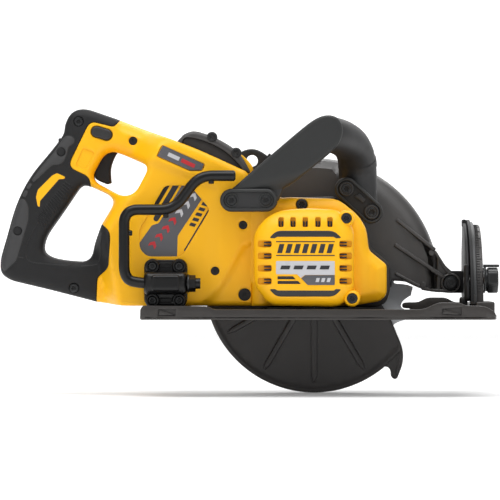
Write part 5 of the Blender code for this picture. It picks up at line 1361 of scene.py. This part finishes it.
def carriage():
    """The hinge bracket and the depth arm that join the saw to its shoe, with their clamps."""
    ear = rounded([(117.2, 26, 2), (121, 22.9, 3), (139, 22.9, 1), (139, 43.4, 1), (125.7, 43.4, 2),
                   (117.2, 38, 4)], 2, 4)
    ears = [relief("ear", ear, low, high, DARK_STEEL, edge=0.8, far_edge=0.6, holes=[circle(DEPTH, 4.3, 24)],
                   spacing=3) for low, high in ((42.4, 45.7), (66.3, 69.7))]
    face = [(42, 3.9), (42, 16), (-22, 16), *arc(BEVEL, 82, 172, 90, 30), (70, 60), (70, 21), (63, 18),
            (59.6, 7.5), *arc(BEVEL, 3.6, 0, -90, 8)]
    sheet = plate("sheet", [rounded(face, 0.6, 1), circle(BEVEL_BOLT, 3.3, 24), circle(BEVEL, 2.3, 20)],
                  138.0, 140.9, DARK_STEEL, plane="YZ", edge=0.9)
    pointer = [block("pointer", (137.4, 141.2), (44, 56), (84, 91.2), DARK_STEEL, 1.2),
               block("boss", (136.2, 140), (-22, -1), (17, 50), DARK_STEEL, 2.0, 3),
               block("heel", (132.2, 139), (-20, -3), (11.5, 20), DARK_STEEL, 2.5, 3)]
    place(merged("hinge_bracket", *ears, sheet, *pointer), "carriage", "black_steel", "front_bracket")
    pin = turned("depth_pivot_bolt", [
        (0.1, 38.4), (2.4, 38.4), (2.6, 37.7), (4.4, 37.7), (4.8, 38.2), (4.8, 39.2), (6.4, 39.4),
        (6.8, 40.4), (6.8, 42.2), (4.0, 42.2), (4.0, 72), (0.1, 72)], DEPTH, BLACK_STEEL, 48)
    place(pin, "carriage", "steel", "depth_pivot_pin")
    run, rise = DEPTH[0] - DEPTH_CLAMP[0], DEPTH_CLAMP[1] - DEPTH[1]
    reach = hypot(run, rise)
    angle = 180 - degrees(atan2(rise, run))
    arm = plate("arm", [swept(DEPTH, reach, 8, angle + 2.6, angle - 30.6, 30),
                        swept(DEPTH, reach, 3.4, angle + 1.2, angle - 29.2, 30)], 72.4, 75.4, BLACK_STEEL,
                edge=0.5)
    strip = relief("strip", rounded([(-125.6, 27.4), (-64.5, 36), (-66, 42), (-80, 46), (-125.6, 33.5)], 2),
                   72.6, 75.2, BLACK_STEEL, edge=0.6, far_edge=0.6)
    step = block("step", (-126, -119), (50.4, 75), (27, 34), BLACK_STEEL, 0.8)
    foot_outline = [(50.6, 29), (52.4, 7)] + arc(BEVEL, 3.6, 180, 360, 16) + [(61.4, 29)]
    foot = plate("foot", [foot_outline, circle(BEVEL, 2.3, 20)], -125.6, -119.4, BLACK_STEEL, plane="YZ",
                 edge=0.5)
    marks = []
    for k in range(12):
        mark = spoke(DEPTH, reach + 4.4, reach + 7, angle - 2.4 * k, 0.07)
        marks.append(plate("mark", [mark], 75.2, 75.6, LABEL_LIGHT))
    place(merged("depth_arm_plate", arm, strip, step, foot, *marks), "carriage", "black_steel", "depth_arm")
    hub = turned("hub",
                 [(0.1, 75.9), (7.4, 75.9), (8, 76.5), (8, 82), (7, 83), (3.6, 83), (3.2, 81.6), (0.1, 81.6)],
                 DEPTH_CLAMP, NYLON)
    grip = relief("grip", rounded([(-77, 46, 4), (-68.5, 54, 4), (-94, 74.5, 3), (-99, 75, 3), (-101, 70, 3),
                                   (-98, 66, 3)], 3), 82.2, 77.4, NYLON, edge=1.4, far_edge=1.2, spacing=2.5)
    bolt = cross_rod("bolt", DEPTH_CLAMP, 69.8, 77, 2.8, STEEL)
    place(merged("depth_clamp_lever", hub, grip, bolt), "depth_clamp", "black_plastic", "depth_lever")


def insides():
    """The pieces seen only from the far side or through openings keep their CAD shapes, refinished."""
    finishes = {
        "steel": STEEL, "black_steel": BLACK_STEEL, "copper": COPPER, "motor_laminations": IRON,
        "circuit_resin": RESIN, "black_plastic": NYLON, "yellow_plastic": YELLOW, "magnesium": CAST,
        "grip_rubber": RUBBER, "blade_steel": BLADE,
    }
    for name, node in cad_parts.items():
        slot_name = node.data.materials[0].name.split(".")[0] if node.data.materials else "steel"
        finish = BRASS if name.endswith("_spring") else finishes.get(slot_name, STEEL)
        for index in range(len(node.data.materials)):
            node.data.materials[index] = finish


def lens_of_view():
    """A level view, square to the saw's side, from about four metres."""
    data = bpy.data.cameras.new("camera")
    data.sensor_width = 36.0
    data.lens = 293.6
    data.clip_end = 50
    camera = bpy.data.objects.new("camera", data)
    camera.location = (-59.6 * MM, -3744 * MM, 62.8 * MM)
    camera.rotation_euler = (pi / 2, 0, 0)
    bpy.context.scene.collection.objects.link(camera)
    bpy.context.scene.camera = camera


def area_light(name, at, towards, size, power, colour=(1, 1, 1)):
    data = bpy.data.lights.new(name, "AREA")
    data.shape = "RECTANGLE"
    data.size, data.size_y = size
    data.energy = power
    data.color = colour
    lamp = bpy.data.objects.new(name, data)
    lamp.location = at
    lamp.rotation_euler = (Vector(towards) - Vector(at)).to_track_quat("-Z", "Y").to_euler()
    bpy.context.scene.collection.objects.link(lamp)


def studio():
    """A pale sweep that rises behind the saw, one big top light, and soft fills."""
    floor_level = CAD_BOX[0].z - 0.0004
    radius, back, wide, front = 0.8, 5.0, 8.0, -6.0
    section = [(front, floor_level)]
    section += [(back + radius * sin(t * pi / 16), floor_level + radius * (1 - cos(t * pi / 16)))
                for t in range(9)]
    section.append((back + radius, floor_level + 5.0))
    verts = [(x, y, z) for x in (-wide, wide) for y, z in section]
    count = len(section)
    faces = [(k, k + 1, k + 1 + count, k + count) for k in range(count - 1)]
    mesh = bpy.data.meshes.new("sweep")
    mesh.from_pydata(verts, [], faces)
    paper = surface("pale_paper", (0.92, 0.92, 0.92), 0.9, mottle=0.0, spread=0.02)
    nodes, links = paper.node_tree.nodes, paper.node_tree.links
    shader = nodes["Principled BSDF"]
    shader.inputs["Emission Color"].default_value = (1, 1, 1, 1)
    spot = nodes.new("ShaderNodeTexCoord")
    reach = nodes.new("ShaderNodeVectorMath")
    reach.operation = "LENGTH"
    glow = nodes.new("ShaderNodeMapRange")
    for end, value in (("From Min", 1.2), ("From Max", 5.0), ("To Min", 0.16), ("To Max", 0.7)):
        glow.inputs[end].default_value = value
    links.new(spot.outputs["Object"], reach.inputs[0])
    links.new(reach.outputs["Value"], glow.inputs["Value"])
    links.new(glow.outputs["Result"], shader.inputs["Emission Strength"])
    keep("sweep", mesh, paper)
    world = bpy.data.worlds.new("studio")
    bpy.context.scene.world = world
    world.use_nodes = True
    sky = world.node_tree.nodes["Background"].inputs
    sky["Color"].default_value = (1, 1, 1, 1)
    sky["Strength"].default_value = 0.35
    area_light("top", (-0.1, -0.5, 1.7), (-0.06, 0, 0.05), (2.2, 1.2), 33)
    area_light("front_left", (-1.3, -1.9, 0.9), (-0.06, 0, 0.08), (1.2, 1.2), 5.8)
    area_light("front_right", (1.6, -1.2, 1.0), (0.05, 0, 0.1), (0.9, 1.2), 4.8)
    area_light("behind", (0.2, 1.2, 1.4), (-0.06, 0, 0.1), (1.6, 0.8), 12)
    bpy.context.scene.view_settings.view_transform = "Standard"


for build in (lens_of_view, studio, housing, grips, battery, motor, trigger_group, hook, front_handle,
              gear_case, upper_guard, lower_guard, blade, shoe, quadrant, carriage, insides):
    build()
